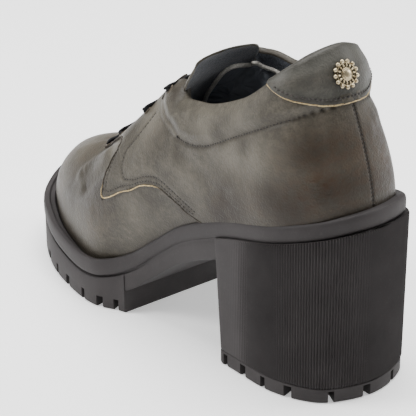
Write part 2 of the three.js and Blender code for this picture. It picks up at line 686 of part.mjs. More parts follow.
// Tongue: an arched sheet under the facings, with a rounded free end
function tongue() {
  const across = 8;
  const sheet = (thickness) => TONGUE.map((row) => {
    const half = (row.width * TONGUE_WIDTH) / 2;
    const middle = new THREE.Vector3(
      row.shift * TONGUE_WIDTH,
      -row.along * SOLE_LENGTH,
      PLATFORM + row.rise * INSTEP_RISE - thickness,
    );
    return Array.from({ length: across + 1 }, (_, i) => {
      const side = (2 * i) / across - 1;
      const drop = row.arch * half * side * side;
      return middle.clone().add(new THREE.Vector3(side * half, drop * 0.35, -drop));
    });
  });
  const top = sheet(0);
  const under = sheet(TONGUE_THICK);
  const rings = top.map((row, k) => [...row, ...under[k].reverse()]);
  return stripSolid(rings);
}

// Rings of a flat strip: the two long faces are joined straight across at both ends
function stripSolid(rings) {
  const count = rings[0].length;
  const faces = sideFaces(rings, false);
  for (const [k, flip] of [[0, false], [rings.length - 1, true]]) {
    const first = k * count;
    for (let i = 0; i < count / 2 - 1; i += 1) {
      const [a, b, c, d] = [i, i + 1, count - 2 - i, count - 1 - i].map((n) => first + n);
      const pair = [[a, b, c], [a, c, d]];
      faces.push(...(flip ? pair.map(([p, q, r]) => [p, r, q]) : pair));
    }
  }
  return solid(meshFrom(rings.flat(), faces));
}

// Laces: crossings over the tongue between the rows of eyelets, and a bar at each end
function laceStrand(from, to, lift) {
  const places = [0, 0.1, 0.36, 0.64, 0.9, 1];
  const sides = 6;
  const up = from.out.clone().add(to.out).setX(0).normalize();
  const rings = places.map((f) => {
    const middle = from.point.clone().lerp(to.point, f);
    middle.addScaledVector(up, lift * Math.sin(Math.PI * f) ** 0.5);
    const way = to.point.clone().sub(from.point);
    way.addScaledVector(up, lift * Math.PI * Math.cos(Math.PI * f)).normalize();
    const flat = way.clone().cross(up).normalize();
    const over = flat.clone().cross(way).normalize();
    return Array.from({ length: sides }, (_, i) => {
      const angle = (2 * Math.PI * i) / sides;
      return middle.clone()
        .addScaledVector(flat, (LACE_WIDTH / 2) * Math.cos(angle))
        .addScaledVector(over, (LACE_THICK / 2) * Math.sin(angle));
    });
  });
  return solidOfRings(rings);
}

function laces() {
  const lift = QUARTER_STEP + 4 * GAP + LACE_THICK / 2;
  const eyelet = (side, row) => facingPoint(side, eyeletShare(row), lift);
  const strands = [
    laceStrand(eyelet(1, 0), eyelet(-1, 0), 1.1 * LACE_THICK),
    laceStrand(eyelet(1, EYELET_ROWS - 1), eyelet(-1, EYELET_ROWS - 1), 3.5 * LACE_THICK),
  ];
  for (let row = 0; row + 1 < EYELET_ROWS; row += 1) {
    strands.push(
      laceStrand(eyelet(1, row), eyelet(-1, row + 1), 1.9 * LACE_THICK),
      laceStrand(eyelet(-1, row), eyelet(1, row + 1), 2.7 * LACE_THICK),
    );
  }
  return joined(strands);
}

// Stud: a disc with a beaded edge and a low dome, its back on the XY plane
function stud() {
  const radius = STUD_DIAMETER / 2;
  const ring = (share, dip, up) => Array.from({ length: 2 * STUD_BEADS }, (_, k) => {
    const turn = (-Math.PI * k) / STUD_BEADS;
    const reach = radius * (share - (k % 2) * dip);
    return new THREE.Vector3(reach * Math.cos(turn), reach * Math.sin(turn), up);
  });
  return solidOfRings([
    ring(0.9, 0.06, 0),
    ring(1, 0.14, 0.5 * STUD_DISC),
    ring(0.9, 0.06, STUD_DISC),
    ring(0.68, 0, 0.8 * STUD_DISC),
    ring(0.56, 0.02, STUD_DISC),
    ring(0.4, 0, STUD_DISC + 0.7 * STUD_DOME),
    ring(0.16, 0, STUD_DISC + STUD_DOME),
  ]);
}

function studPlace() {
  const { place, rise } = STUD_SPOT;
  const offset = quarterFace(place, rise) + TAB_THICK + 3 * GAP;
  return { point: skinPoint(place, rise, offset), out: wallOut(place, rise) };
}

// The shoe
const leather = new THREE.MeshStandardMaterial({ color: 0x8a8178, roughness: 0.7 });
const rubber = new THREE.MeshStandardMaterial({ color: 0x4b4747, roughness: 0.75 });
const lining = new THREE.MeshStandardMaterial({ color: 0x2b2b2d, roughness: 0.8 });
const cord = new THREE.MeshStandardMaterial({ color: 0x232327, roughness: 0.85 });
const brass = new THREE.MeshStandardMaterial({ color: 0xb8a57c, roughness: 0.35, metalness: 1 });

function piece(name, manifold, material) {
  const mesh = new THREE.Mesh(geometryOf(manifold), material);
  mesh.name = name;
  return mesh;
}

const shoe = new THREE.Group();
shoe.add(
  piece('sole', sole(), rubber),
  piece('insole', insole(), lining),
  piece('upper', upper(), leather),
  piece('tongue', tongue(), leather),
  piece('heel_tab', heelTab(), leather),
  piece('laces', laces(), cord),
);

const seat = studPlace();
const rosette = piece('stud', stud(), brass);
rosette.position.copy(seat.point);
rosette.quaternion.setFromUnitVectors(new THREE.Vector3(0, 0, 1), seat.out);
shoe.add(rosette);

const middle = new THREE.Box3().setFromObject(shoe).getCenter(new THREE.Vector3());
shoe.position.set(-middle.x, -middle.y, 0);

export default shoe;
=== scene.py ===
# Low-cut laced derby shoe on a high block heel, the left shoe of a pair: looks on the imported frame.
# Places on the shoe are in millimetres: "along" runs from the back edge towards the toe, s runs
# round the shoe in rows of OUTLINE, t runs up the wall from its foot (0) to its top edge (1).

import math

import bmesh
import bpy
import numpy as np
from mathutils import Matrix, Vector


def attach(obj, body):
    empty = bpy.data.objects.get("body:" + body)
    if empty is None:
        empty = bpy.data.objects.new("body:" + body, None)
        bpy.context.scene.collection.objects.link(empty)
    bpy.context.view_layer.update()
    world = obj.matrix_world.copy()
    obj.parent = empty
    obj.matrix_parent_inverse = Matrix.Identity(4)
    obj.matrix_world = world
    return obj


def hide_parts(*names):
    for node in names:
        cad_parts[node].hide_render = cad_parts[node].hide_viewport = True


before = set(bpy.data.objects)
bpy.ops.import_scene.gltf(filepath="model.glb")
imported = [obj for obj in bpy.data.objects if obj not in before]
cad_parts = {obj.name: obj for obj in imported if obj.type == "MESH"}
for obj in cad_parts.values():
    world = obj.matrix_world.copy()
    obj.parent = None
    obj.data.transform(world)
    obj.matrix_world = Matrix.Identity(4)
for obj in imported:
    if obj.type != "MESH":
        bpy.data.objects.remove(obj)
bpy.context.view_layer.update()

# Driving dimensions, in millimetres: the model's, but for the height of the notches
SOLE_LENGTH = 258.0
BALL_WIDTH = 92.0
HEEL_WIDTH = 73.0
HEEL_RISE = 93.8
PLATFORM = 25.4
TOE_SPRING = 9.0
SPRING_START = 0.775
COLLAR_RISE = 69.5
INSTEP_RISE = 95.0
LIP_HEIGHT = 8.8
LIP_ROUND = 0.8
GROOVE_DEPTH = 2.4
GROOVE_HEIGHT = 1.6
SEAT_DEPTH = 3.2
WAIST_SIDE = 11.5
CHANNEL_DEPTH = 1.3
HEEL_LENGTH = 70.4
HEEL_PROUD = 1.3
HEEL_TAPER = 1.0
BREAST_SLOPE = 3.0
BREAST_CORNER = 3.0
HEEL_FOOT = 7.5
FOOT_ROUND = 1.2
TREAD_START = 141.0
TREAD_INSET = 0.5
NOTCH_HEIGHT = 6.3
NOTCH_REACH = 7.0
WALL = 2.2
QUARTER_STEP = 1.1
COLLAR_HEIGHT = 20.0
COLLAR_PUFF = 1.6
COLLAR_PAD = 2.6
COLLAR_END = (6.2, 7.2)
GAP = 0.3
INSOLE_THICK = 3.0
TONGUE_THICK = 2.6
TONGUE_WIDTH = 46.0
TAB_THICK = 1.5
EYELET_INSET = 6.0
EYELET_ROWS = 4
SHIFT = (0.276, 128.075)

# Height of the lip along the shoe: share of SOLE_LENGTH, share of the drop
RISE = np.array([
    (0, 1), (0.12, 0.872), (0.271, 0.716), (0.388, 0.528), (0.465, 0.322), (0.53, 0.137),
    (0.58, 0.043), (0.62, 0.011), (0.66, 0.002), (0.736, 0.016), (0.806, 0.037),
    (0.86, 0.05), (0.93, 0.038), (1, 0.02),
])

# Plan of the lip: along, across, width it is a share of, ledge outside the upper in mm
H, B = HEEL_WIDTH, BALL_WIDTH
OUTLINE = np.array([
    (0, 0, H, 5.2), (0.0132, 0.218, H, 4.4), (0.046, 0.388, H, 3.2), (0.126, 0.496, H, 2.4),
    (0.24, 0.49, H, 2.2), (0.36, 0.482, H, 2.2), (0.465, 0.39, B, 2.4), (0.552, 0.43, B, 3.2),
    (0.618, 0.497, B, 5), (0.715, 0.465, B, 6), (0.83, 0.362, B, 7), (0.932, 0.18, B, 7.4),
    (1, -0.13, B, 7.6), (0.962, -0.37, B, 7), (0.87, -0.47, B, 6), (0.75, -0.503, B, 5),
    (0.64, -0.462, B, 4), (0.55, -0.37, B, 3.2), (0.457, -0.315, B, 2.8), (0.36, -0.41, H, 3),
    (0.24, -0.475, H, 4), (0.126, -0.496, H, 5.2), (0.046, -0.388, H, 6), (0.0132, -0.218, H, 5.8),
])

# Top edge of the upper, its corners a little higher than the model's: along, across, rise,
# size the rise is a share of
C, I = COLLAR_RISE, INSTEP_RISE
TOP = np.array([
    (0.117, 0, 0.98, C), (0.122, 0.16, 0.972, C), (0.133, 0.305, 0.95, C), (0.17, 0.376, 0.91, C),
    (0.236, 0.39, 0.845, C), (0.335, 0.36, 0.865, C), (0.43, 0.275, 1.05, C),
    (0.468, 0.173, 1.01, I), (0.572, 0.15, 0.83, I), (0.676, 0.12, 0.565, I),
    (0.712, 0.085, 0.472, I), (0.724, 0.045, 0.428, I), (0.729, 0.008, 0.39, I),
    (0.726, -0.035, 0.412, I), (0.716, -0.08, 0.46, I), (0.68, -0.12, 0.565, I),
    (0.578, -0.17, 0.83, I), (0.45, -0.24, 1.083, I), (0.4, -0.33, 1.262, C), (0.33, -0.37, 1.0, C),
    (0.24, -0.385, 0.885, C), (0.19, -0.335, 0.9, C), (0.152, -0.25, 0.925, C),
    (0.127, -0.13, 0.957, C),
])

# Bend of the wall as shares of its height: up and out at the foot, out and down at the top
BEND = np.array([
    (0.4, -0.04, 0.12, 0.34), (0.4, -0.03, 0.1, 0.34), (0.4, 0, 0.09, 0.34), (0.4, 0.05, 0.08, 0.34),
    (0.4, 0.07, 0.1, 0.34), (0.4, 0.08, 0.16, 0.32), (0.4, 0.1, 0.23, 0.27), (0.4, 0.1, 0.25, 0.24),
    (0.42, 0.08, 0.35, 0.19), (0.46, 0.08, 0.42, 0.14), (0.46, 0.06, 0.5, 0.1),
    (0.44, 0.04, 0.62, 0.1), (0.42, 0.03, 0.69, 0.1), (0.44, 0.03, 0.66, 0.1),
    (0.46, 0.04, 0.56, 0.1), (0.48, 0.06, 0.46, 0.12), (0.44, 0.06, 0.36, 0.16),
    (0.4, 0.04, 0.26, 0.2), (0.4, 0.04, 0.18, 0.28), (0.4, 0.06, 0.12, 0.34),
    (0.4, 0.07, 0.08, 0.34), (0.4, 0.05, 0.08, 0.34), (0.4, 0, 0.09, 0.34), (0.4, -0.03, 0.1, 0.34),
])
ROWS = len(OUTLINE)


def smooth(value, low, high):
    f = np.clip((np.asarray(value, float) - low) / (high - low), 0, 1)
    return f * f * (3 - 2 * f)


def between(before, start, end, after, f):
    """A smooth curve from start to end, at shares f of the way."""
    bend = 2 * before - 5 * start + 4 * end - after
    twist = 3 * (start - end) + after - before
    return start + 0.5 * f * (end - before + f * (bend + f * twist))


def around(column, s):
    """A column of a table that runs round the shoe, at places s between its rows."""
    s = np.asarray(s, float)
    i = np.floor(s).astype(int)
    return between(*(column[(i + k) % ROWS] for k in (-1, 0, 1, 2)), s - i)


def through(table, x):
    """A smooth curve through a table of (x, value) rows, with no overshoot."""
    px, py = table[:, 0], table[:, 1]
    x = np.clip(np.asarray(x, float), px[0], px[-1])
    slope = np.diff(py) / np.diff(px)
    lean = np.zeros(len(px))
    same = slope[:-1] * slope[1:] > 0
    both = slope[:-1] + slope[1:]
    lean[1:-1][same] = (2 * slope[:-1] * slope[1:])[same] / both[same]
    lean[0] = slope[0]
    i = np.clip(np.searchsorted(px, x, side="right") - 1, 0, len(px) - 2)
    span = px[i + 1] - px[i]
    f = (x - px[i]) / span
    ease = f * f * (3 - 2 * f)
    base = py[i] + (py[i + 1] - py[i]) * ease
    return base + span * f * (1 - f) * (lean[i] * (1 - f) - lean[i + 1] * f)


def spring_at(along):
    start = SPRING_START * SOLE_LENGTH
    return TOE_SPRING * np.maximum(0, (along - start) / (SOLE_LENGTH - start)) ** 2


def lip_top(along):
    drop = through(RISE, np.asarray(along) / SOLE_LENGTH)
    return PLATFORM + (HEEL_RISE - PLATFORM) * drop + spring_at(along)


def lip_foot(along):
    return lip_top(along) - LIP_HEIGHT


def plan(s):
    along = around(OUTLINE[:, 0] * SOLE_LENGTH, s)
    across = around(OUTLINE[:, 1] * OUTLINE[:, 2], s)
    return np.stack([across, -along], -1)


def outward(s):
    way = plan(np.asarray(s) + 0.05) - plan(np.asarray(s) - 0.05)
    way /= np.linalg.norm(way, axis=-1, keepdims=True)
    return np.stack([-way[..., 1], way[..., 0]], -1)


def along_at(s):
    return -plan(s)[..., 1]


def ledge_at(s):
    return around(OUTLINE[:, 3], s)


def inset_point(s, inset, height):
    flat = plan(s)
    flat = flat - outward(s) * np.broadcast_to(inset, np.shape(s))[..., None]
    return np.concatenate([flat, np.broadcast_to(height, np.shape(s))[..., None]], -1)


def wall_ends(s):
    """The four handles of the wall's curve at places s."""
    s = np.asarray(s, float)
    foot = inset_point(s, ledge_at(s), lip_top(along_at(s)))
    top = np.stack([
        around(TOP[:, 1] * HEEL_WIDTH, s),
        -around(TOP[:, 0] * SOLE_LENGTH, s),
        foot[..., 2] + around(TOP[:, 2] * TOP[:, 3], s),
    ], -1)
    foot[..., 2] += GAP - SEAT_DEPTH
    height = top[..., 2] - foot[..., 2]
    out = np.concatenate([outward(s), np.zeros(np.shape(s) + (1,))], -1)
    foot_up, foot_out, top_out, top_down = (around(BEND[:, k], s) for k in range(4))
    low = foot + out * (foot_out * height)[..., None]
    low[..., 2] += foot_up * height
    high = top + out * (top_out * height)[..., None]
    high[..., 2] -= top_down * height
    return foot, low, high, top


def wall_point(s, t):
    s, t = np.broadcast_arrays(np.asarray(s, float), np.asarray(t, float))
    a, b, c, d = wall_ends(s)
    t = t[..., None]
    u = 1 - t
    return a * u**3 + 3 * b * t * u**2 + 3 * c * t**2 * u + d * t**3


def wall_height(s):
    ends = wall_ends(s)
    return ends[3][..., 2] - ends[0][..., 2]


def wall_out(s, t):
    up = wall_point(s, np.asarray(t) + 0.02) - wall_point(s, np.asarray(t) - 0.02)
    across = wall_point(np.asarray(s) + 0.02, t) - wall_point(np.asarray(s) - 0.02, t)
    out = np.cross(up, across)
    return out / np.linalg.norm(out, axis=-1, keepdims=True)


def skin_point(s, t, offset):
    """A point at an offset from the wall."""
    s, t, offset = np.broadcast_arrays(s, t, offset)
    return wall_point(s, t) + wall_out(s, t) * offset[..., None]


def collar_at(s, t):
    s = np.asarray(s, float) % ROWS
    from_back = np.minimum(s, ROWS - s)
    zone = 1 - smooth(from_back, *COLLAR_END)
    down = np.minimum(1, (1 - t) * wall_height(s) / COLLAR_HEIGHT)
    return zone * np.sin(np.pi * down)


def lining_face(s, t):
    return -WALL - COLLAR_PAD * collar_at(s, t)


def quarter_face(s, t):
    return QUARTER_STEP + COLLAR_PUFF * collar_at(s, t)


def over(face, s, t, lift=0.0):
    """A point over one of the faces that the wall carries."""
    return skin_point(s, t, face(s, t) + lift)


# Places on the wall found from a point of the side view: side +1 lateral, -1 medial
GRID_S = np.linspace(0, ROWS, 481)[:-1]
GRID_T = np.linspace(0, 1, 61)


def on_side(along, height, side):
    """Places (s, t) on the wall whose side view is the point (along, height)."""
    s, t = np.meshgrid(GRID_S, GRID_T)
    keep = (s <= ROWS / 2) if side > 0 else (s >= ROWS / 2)
    s, t = s[keep], t[keep]
    points = wall_point(s, t)
    found = []
    for a, h in zip(np.atleast_1d(along), np.atleast_1d(height)):
        k = np.argmin((points[:, 1] + a) ** 2 + (points[:, 2] - h) ** 2)
        ps, pt = s[k], t[k]
        for _ in range(6):
            here = wall_point(ps, pt)
            ds = (wall_point(ps + 0.01, pt) - here) / 0.01
            dt = (wall_point(ps, pt + 0.01) - here) / 0.01
            square = np.array([[ds[1], dt[1]], [ds[2], dt[2]]])
            miss = np.array([-a - here[1], h - here[2]])
            step = np.linalg.lstsq(square, miss, rcond=None)[0]
            ps = ps + np.clip(step[0], -0.3, 0.3)
            pt = float(np.clip(pt + np.clip(step[1], -0.1, 0.1), 0, 1))
        found.append((ps, pt))
    return np.array(found)


def run_along(path):
    """Length of a path up to each of its points."""
    return np.concatenate([[0], np.cumsum(np.linalg.norm(np.diff(path, axis=0), axis=1))])


def along_path(places, run, path):
    """Points of a path at lengths along it."""
    return np.stack([np.interp(places, run, path[:, k]) for k in range(path.shape[1])], -1)


def dense(points, step):
    """A smooth open curve through points, with even steps."""
    p = np.asarray(points, float)
    p = np.vstack([2 * p[0] - p[1], p, 2 * p[-1] - p[-2]])
    f = np.linspace(0, 1, 13)[:-1, None]
    path = [between(*p[i - 1:i + 3], f) for i in range(1, len(p) - 2)]
    path = np.vstack(path + [p[-2:-1]])
    run = run_along(path)
    return along_path(np.linspace(0, run[-1], max(2, int(round(run[-1] / step)) + 1)), run, path)


def line_distance(x, y, path):
    """Distance from points to a path of the same plane."""
    best = np.full(np.shape(x), 1e9)
    for (ax, ay), (bx, by) in zip(path[:-1], path[1:]):
        dx, dy = bx - ax, by - ay
        f = np.clip(((x - ax) * dx + (y - ay) * dy) / (dx * dx + dy * dy + 1e-12), 0, 1)
        best = np.minimum(best, np.hypot(x - ax - f * dx, y - ay - f * dy))
    return best


def inside(x, y, path):
    """True where points lie inside a closed path."""
    hit = np.zeros(np.shape(x), bool)
    for (ax, ay), (bx, by) in zip(path, np.roll(path, -1, axis=0)):
        if ay == by:
            continue
        cross = (ay > y) != (by > y)
        hit ^= cross & (x < (bx - ax) * (y - ay) / (by - ay) + ax)
    return hit


# Meshes
def make_object(name, points, faces, material, attributes=None, smooth_angle=60):
    points = (np.asarray(points, float) + (*SHIFT, 0)) * 0.001
    mesh = bpy.data.meshes.new(name)
    mesh.from_pydata(points.tolist(), [], faces)
    for key, values in (attributes or {}).items():
        layer = mesh.attributes.new(key, "FLOAT", "POINT")
        layer.data.foreach_set("value", np.asarray(values, np.float32).ravel())
    bm = bmesh.new()
    bm.from_mesh(mesh)
    bmesh.ops.recalc_face_normals(bm, faces=bm.faces)
    bm.to_mesh(mesh)
    bm.free()
    mesh.polygons.foreach_set("use_smooth", [True] * len(mesh.polygons))
    mesh.set_sharp_from_angle(angle=math.radians(smooth_angle))
    mesh.materials.append(material)
    obj = bpy.data.objects.new(name, mesh)
    bpy.context.scene.collection.objects.link(obj)
    return obj


def grid_faces(rows, columns, closed=True, closed_rows=False):
    """Quads of a grid of rows by columns of points."""
    faces = []
    for k in range(rows if closed_rows else rows - 1):
        a, b = k * columns, (k + 1) % rows * columns
        for i in range(columns if closed else columns - 1):
            j = (i + 1) % columns
            faces.append((a + i, a + j, b + j, b + i))
    return faces


def tube_faces(rows, columns):
    """Quads of stacked rings, with one face across either end."""
    ends = [tuple(range(base, base + columns)) for base in (0, (rows - 1) * columns)]
    return grid_faces(rows, columns) + ends


def capped(rings, skip=0):
    """Faces of stacked rings, with caps of strips that run across from side to side.

    A ring begins at the middle of one end of the shoe, or, with skip 1, at a corner of its open side.
    """
    rows, count = np.asarray(rings).shape[:2]
    faces = grid_faces(rows, count)
    for base in (0, (rows - 1) * count):
        for i in range(count // 2):
            far = count - skip - i
            faces.append(tuple(dict.fromkeys((base + i, base + i + 1, base + far - 1, base + far % count))))
    return faces


def grid_object(name, rings, material, closed=True, caps=False, **more):
    """A mesh from rings of points of the same count."""
    rings = np.asarray(rings, float)
    rows, columns = rings.shape[:2]
    faces = grid_faces(rows, columns, closed)
    points = rings.reshape(-1, 3)
    if caps:
        for base in (0, (rows - 1) * columns):
            points = np.vstack([points, points[base:base + columns].mean(0)])
            tip = len(points) - 1
            faces += [(base + i, base + (i + 1) % columns, tip) for i in range(columns)]
    return make_object(name, points, faces, material, **more)


class Heap:
    """Many small meshes gathered into one object, each with a value for an attribute."""

    def __init__(self):
        self.points, self.faces, self.values, self.count = [], [], [], 0

    def add(self, points, faces, value=0.0):
        points = np.asarray(points, float).reshape(-1, 3)
        self.points.append(points)
        self.values.append(np.broadcast_to(value, len(points)))
        self.faces += [tuple(self.count + i for i in face) for face in faces]
        self.count += len(points)

    def build(self, name, material, key=None, **more):
        attributes = {key: np.concatenate(self.values)} if key else None
        return make_object(name, np.vstack(self.points), self.faces, material, attributes, **more)


def unit(v):
    v = np.asarray(v, float)
    return v / (np.linalg.norm(v, axis=-1, keepdims=True) + 1e-12)


def turns(count):
    """Angles of even steps round a circle."""
    return np.linspace(0, 2 * np.pi, count + 1)[:-1]


def tube(path, across, width, thick, sides, power=1.0):
    """Rings of a cord of oval section along a path; across is the direction of its width."""
    way = unit(np.gradient(path, axis=0))
    flat = unit(across - way * (across * way).sum(-1, keepdims=True))
    over = np.cross(flat, way)
    angle = turns(sides)
    c, d = (np.sign(v) * np.abs(v) ** power for v in (np.cos(angle), np.sin(angle)))
    width, thick = (np.broadcast_to(v, len(path))[:, None, None] / 2 for v in (width, thick))
    return path[:, None] + flat[:, None] * c[:, None] * width + over[:, None] * d[:, None] * thick


def rolled(edge, out, up, outer, inner, angles, bulge):
    """Rings that take an edge over from its outer face to its inner one."""
    middle, half = (outer + inner) / 2, (outer - inner) / 2
    return [
        edge + out * (middle + half * np.cos(turn))[:, None] + up * (bulge * half * np.sin(turn))[:, None]
        for turn in angles
    ]


# One stitch: places along it, rise over the leather and size, as shares of its length and radius
STITCH_PLACES = np.array([-0.5, -0.36, 0, 0.36, 0.5])
STITCH_RISE = np.array([-1.1, 0.1, 0.5, 0.1, -1.1])
STITCH_SIZE = np.array([0.55, 0.95, 1, 0.95, 0.55])


def sew(heap, path, normals, pitch, length, radius, sink):
    """Adds stitches along a path on a surface to a heap."""
    run = run_along(path)
    for middle in np.arange(pitch / 2, run[-1], pitch):
        places = middle + STITCH_PLACES * length
        if places[0] < 0 or places[-1] > run[-1]:
            continue
        out = unit(along_path(places, run, normals))
        rise = STITCH_RISE * radius - sink
        centre = along_path(places, run, path) + out * rise[:, None]
        side = np.cross(unit(np.gradient(centre, axis=0)), out)
        size = STITCH_SIZE * 2 * radius
        heap.add(tube(centre, side, size, size * 0.8, 6), tube_faces(5, 6))


# Materials: colours are given as 0 to 255 values of a screen
def screen(colour):
    parts = np.array(colour) / 255
    parts = np.where(parts <= 0.04045, parts / 12.92, ((parts + 0.055) / 1.055) ** 2.4)
    return (*parts.tolist(), 1.0)


class Paint:
    """A small helper that lays the nodes of one material."""

    def __init__(self, name, **values):
        self.material = bpy.data.materials.new(name)
        self.material.use_nodes = True
        self.tree = self.material.node_tree
        self.shader = self.tree.nodes["Principled BSDF"]
        self.place = self.tree.nodes.new("ShaderNodeTexCoord").outputs["Object"]
        for key, value in values.items():
            self.shader.inputs[key.replace("_", " ")].default_value = value

    def node(self, kind, inputs, **settings):
        """A node, with a value or the output of another node for each of its inputs."""
        node = self.tree.nodes.new(kind)
        for key, value in settings.items():
            setattr(node, key, value)
        for key, value in inputs.items():
            if isinstance(value, bpy.types.NodeSocket):
                self.tree.links.new(value, node.inputs[key])
            else:
                node.inputs[key].default_value = value
        return node

    def noise(self, size, detail=3.0, rough=0.55, stretch=None, warp=0.0):
        """A noise whose features are about size mm wide."""
        place = self.place
        if stretch is not None:
            place = self.node("ShaderNodeMapping", {"Scale": stretch, "Vector": place}).outputs["Vector"]
        return self.node("ShaderNodeTexNoise", {
            "Scale": 1000.0 / size, "Detail": detail, "Roughness": rough, "Distortion": warp,
            "Vector": place,
        }).outputs["Fac"]

    def cells(self, size, feature="F1"):
        inputs = {"Scale": 1000.0 / size, "Vector": self.place}
        return self.node("ShaderNodeTexVoronoi", inputs, feature=feature).outputs["Distance"]

    def value(self, name):
        return self.node("ShaderNodeAttribute", {}, attribute_name=name).outputs["Fac"]

    def spread(self, source, low, high, to_low=0.0, to_high=1.0):
        return self.node("ShaderNodeMapRange", {
            "Value": source, "From Min": low, "From Max": high, "To Min": to_low, "To Max": to_high,
        }).outputs["Result"]

    def product(self, a, b):
        return self.node("ShaderNodeMath", {0: a, 1: b}, operation="MULTIPLY").outputs[0]

    def blend(self, share, a, b):
        a, b = (screen(item) if isinstance(item, tuple) else item for item in (a, b))
        return self.node("ShaderNodeMix", {0: share, 6: a, 7: b}, data_type="RGBA").outputs[2]

    def finish(self, colour=None, rough=None, layers=()):
        """The material, with bump from (height, depth in mm) layers, the broad ones first."""
        normal = None
        for source, depth in layers:
            inputs = {"Distance": depth * 0.001, "Strength": 1.0, "Height": source}
            if normal is not None:
                inputs["Normal"] = normal
            normal = self.node("ShaderNodeBump", inputs).outputs["Normal"]
        for key, source in (("Base Color", colour), ("Roughness", rough), ("Normal", normal)):
            if source is not None:
                self.tree.links.new(source, self.shader.inputs[key])
        return self.material


def leather_with_wear_and_painted_light(name, base, light, dark, brown):
    """Leather with brown burnish, lighter rubbed leather that is partly painted highlight, and painted
    shade, as its attributes burnish, rub and shade say.
    """
    paint = Paint(name, Specular_IOR_Level=0.16, Coat_Weight=0.06, Coat_Roughness=0.32)
    clouds = paint.noise(30, 4, 0.6, warp=0.4)
    blots = paint.noise(5, 5, 0.66, stretch=(1, 1, 1.5))
    specks = paint.noise(1.0, 3, 0.7)
    tone = paint.blend(paint.spread(clouds, 0.34, 0.66, 0.25, 1), dark, base)
    tone = paint.blend(paint.spread(blots, 0.44, 0.74, 0, 0.5), tone, light)
    tone = paint.blend(paint.spread(specks, 0.42, 0.72, 0, 0.5), tone, dark)
    warm = paint.product(paint.value("burnish"), paint.spread(blots, 0.36, 0.6, 0.1, 1))
    tone = paint.blend(warm, tone, brown)
    # Lighter where the leather is rubbed and where a highlight is painted
    rub_and_highlight = paint.product(paint.value("rub_and_highlight"), paint.spread(specks, 0.36, 0.6, 0.5, 1))
    tone = paint.blend(rub_and_highlight, tone, light)
    # Painted shade: dark brown where the shade attribute says
    tone = paint.blend(paint.value("shade"), tone, (32, 26, 20))
    layers = [(paint.noise(16, 2, 0.5), 0.6), (blots, 0.3), (paint.cells(0.9, "SMOOTH_F1"), 0.16),
              (specks, 0.1)]
    return paint.finish(tone, paint.spread(blots, 0.3, 0.7, 0.4, 0.56), layers)


def rubber():
    paint = Paint("sole_rubber", Specular_IOR_Level=0.16)
    clouds = paint.noise(30, 3, 0.6)
    specks = paint.noise(1.4, 4, 0.7)
    tone = paint.blend(paint.spread(clouds, 0.35, 0.7), (43, 40, 40), (56, 53, 53))
    tone = paint.blend(paint.spread(specks, 0.55, 0.8, 0, 0.3), tone, (74, 70, 69))
    rough = paint.spread(clouds, 0.3, 0.7, 0.56, 0.7)
    return paint.finish(tone, rough, [(paint.noise(12, 2), 0.15), (specks, 0.05)])


def cloth(name, base, light, thread=0.9, gloss=0.85, sheen=0.2):
    paint = Paint(name, Roughness=gloss, Sheen_Weight=sheen, Specular_IOR_Level=0.25)
    weave = paint.cells(thread)
    clouds = paint.noise(14, 3)
    tone = paint.blend(paint.spread(weave, 0.1, 0.7), light, base)
    tone = paint.blend(paint.spread(clouds, 0.35, 0.75, 0, 0.5), tone, base)
    return paint.finish(tone, layers=[(clouds, 0.4), (weave, 0.15)])


def thread():
    paint = Paint("dark_thread", Roughness=0.7)
    tone = paint.blend(paint.spread(paint.noise(1.5, 2), 0.35, 0.65), (22, 19, 16), (44, 38, 32))
    return paint.finish(tone, layers=[(paint.noise(0.5, 2), 0.05)])


def raw_edge():
    """The cut edge of the leather: cream where its attribute says so, else brown."""
    paint = Paint("cut_edge", Roughness=0.85)
    fibre = paint.noise(1.2, 4, 0.7)
    tint = paint.spread(fibre, 0.38, 0.68)
    cream = paint.blend(tint, (190, 170, 124), (124, 104, 74))
    plain = paint.blend(tint, (62, 55, 47), (42, 37, 32))
    return paint.finish(paint.blend(paint.value("cream"), plain, cream), layers=[(fibre, 0.2)])


def antique_metal():
    """Brass with stains, dark where its attribute says so."""
    paint = Paint("stud_metal", Metallic=1.0)
    stain = paint.noise(2.2, 4, 0.7)
    tone = paint.blend(paint.spread(stain, 0.4, 0.66), (206, 192, 160), (128, 112, 84))
    tone = paint.blend(paint.value("dark"), tone, (34, 29, 24))
    return paint.finish(tone, paint.spread(stain, 0.35, 0.7, 0.26, 0.48), [(stain, 0.06)])


# Lines of the shoe seen from the side: (along, height). The medial side repeats the lateral one.
WING_EDGE = [
    (184.5, 71.5), (178, 75), (168, 81), (160, 86.5), (154, 88.5), (151.5, 86), (152.4, 81),
    (153.6, 75.5), (153.9, 69.5), (152.8, 61.8), (148, 62.6), (143.5, 65), (136.4, 69.7),
    (127.5, 74.7), (118.7, 77.4), (112.1, 78.1), (105.4, 76), (99.2, 73.4), (94, 70.8),
    (88.3, 69.4), (84.5, 68.6),
]
WING_STITCH = [
    (151, 84.5), (150.9, 80.4), (151.2, 75.4), (151, 70), (149.6, 65.4), (144.2, 67.8),
    (137, 72.1), (127.8, 76.8), (118.7, 79.3), (112.1, 80), (105.7, 78), (99.4, 75.6),
    (94.2, 73), (88.5, 71.4),
]
INNER_STITCH = [
    (130.8, 108), (132.8, 103.5), (136, 97.7), (139.2, 91.7), (142, 87.7), (142, 83.7),
    (140, 79.2), (136, 76), (131.4, 77.8), (124.2, 80.4), (115.7, 82.4), (109.5, 81.8),
    (103.2, 79.6), (96.9, 77), (91.7, 74.6), (86, 72.8),
]
COLLAR_STITCH = [
    (104, 105.2), (97, 105.2), (90, 105.9), (83, 107.8), (76, 110.6), (64.3, 116.9), (47.1, 125.7),
    (36, 131.6), (29, 135), (24.5, 137.6), (22.4, 139),
]
PIPING = [
    (134.8, 116.5), (134.2, 114.2), (131.2, 112.2), (125.2, 110.5), (120.1, 109.4), (115.2, 108),
    (109.9, 107), (104, 105.6),
]
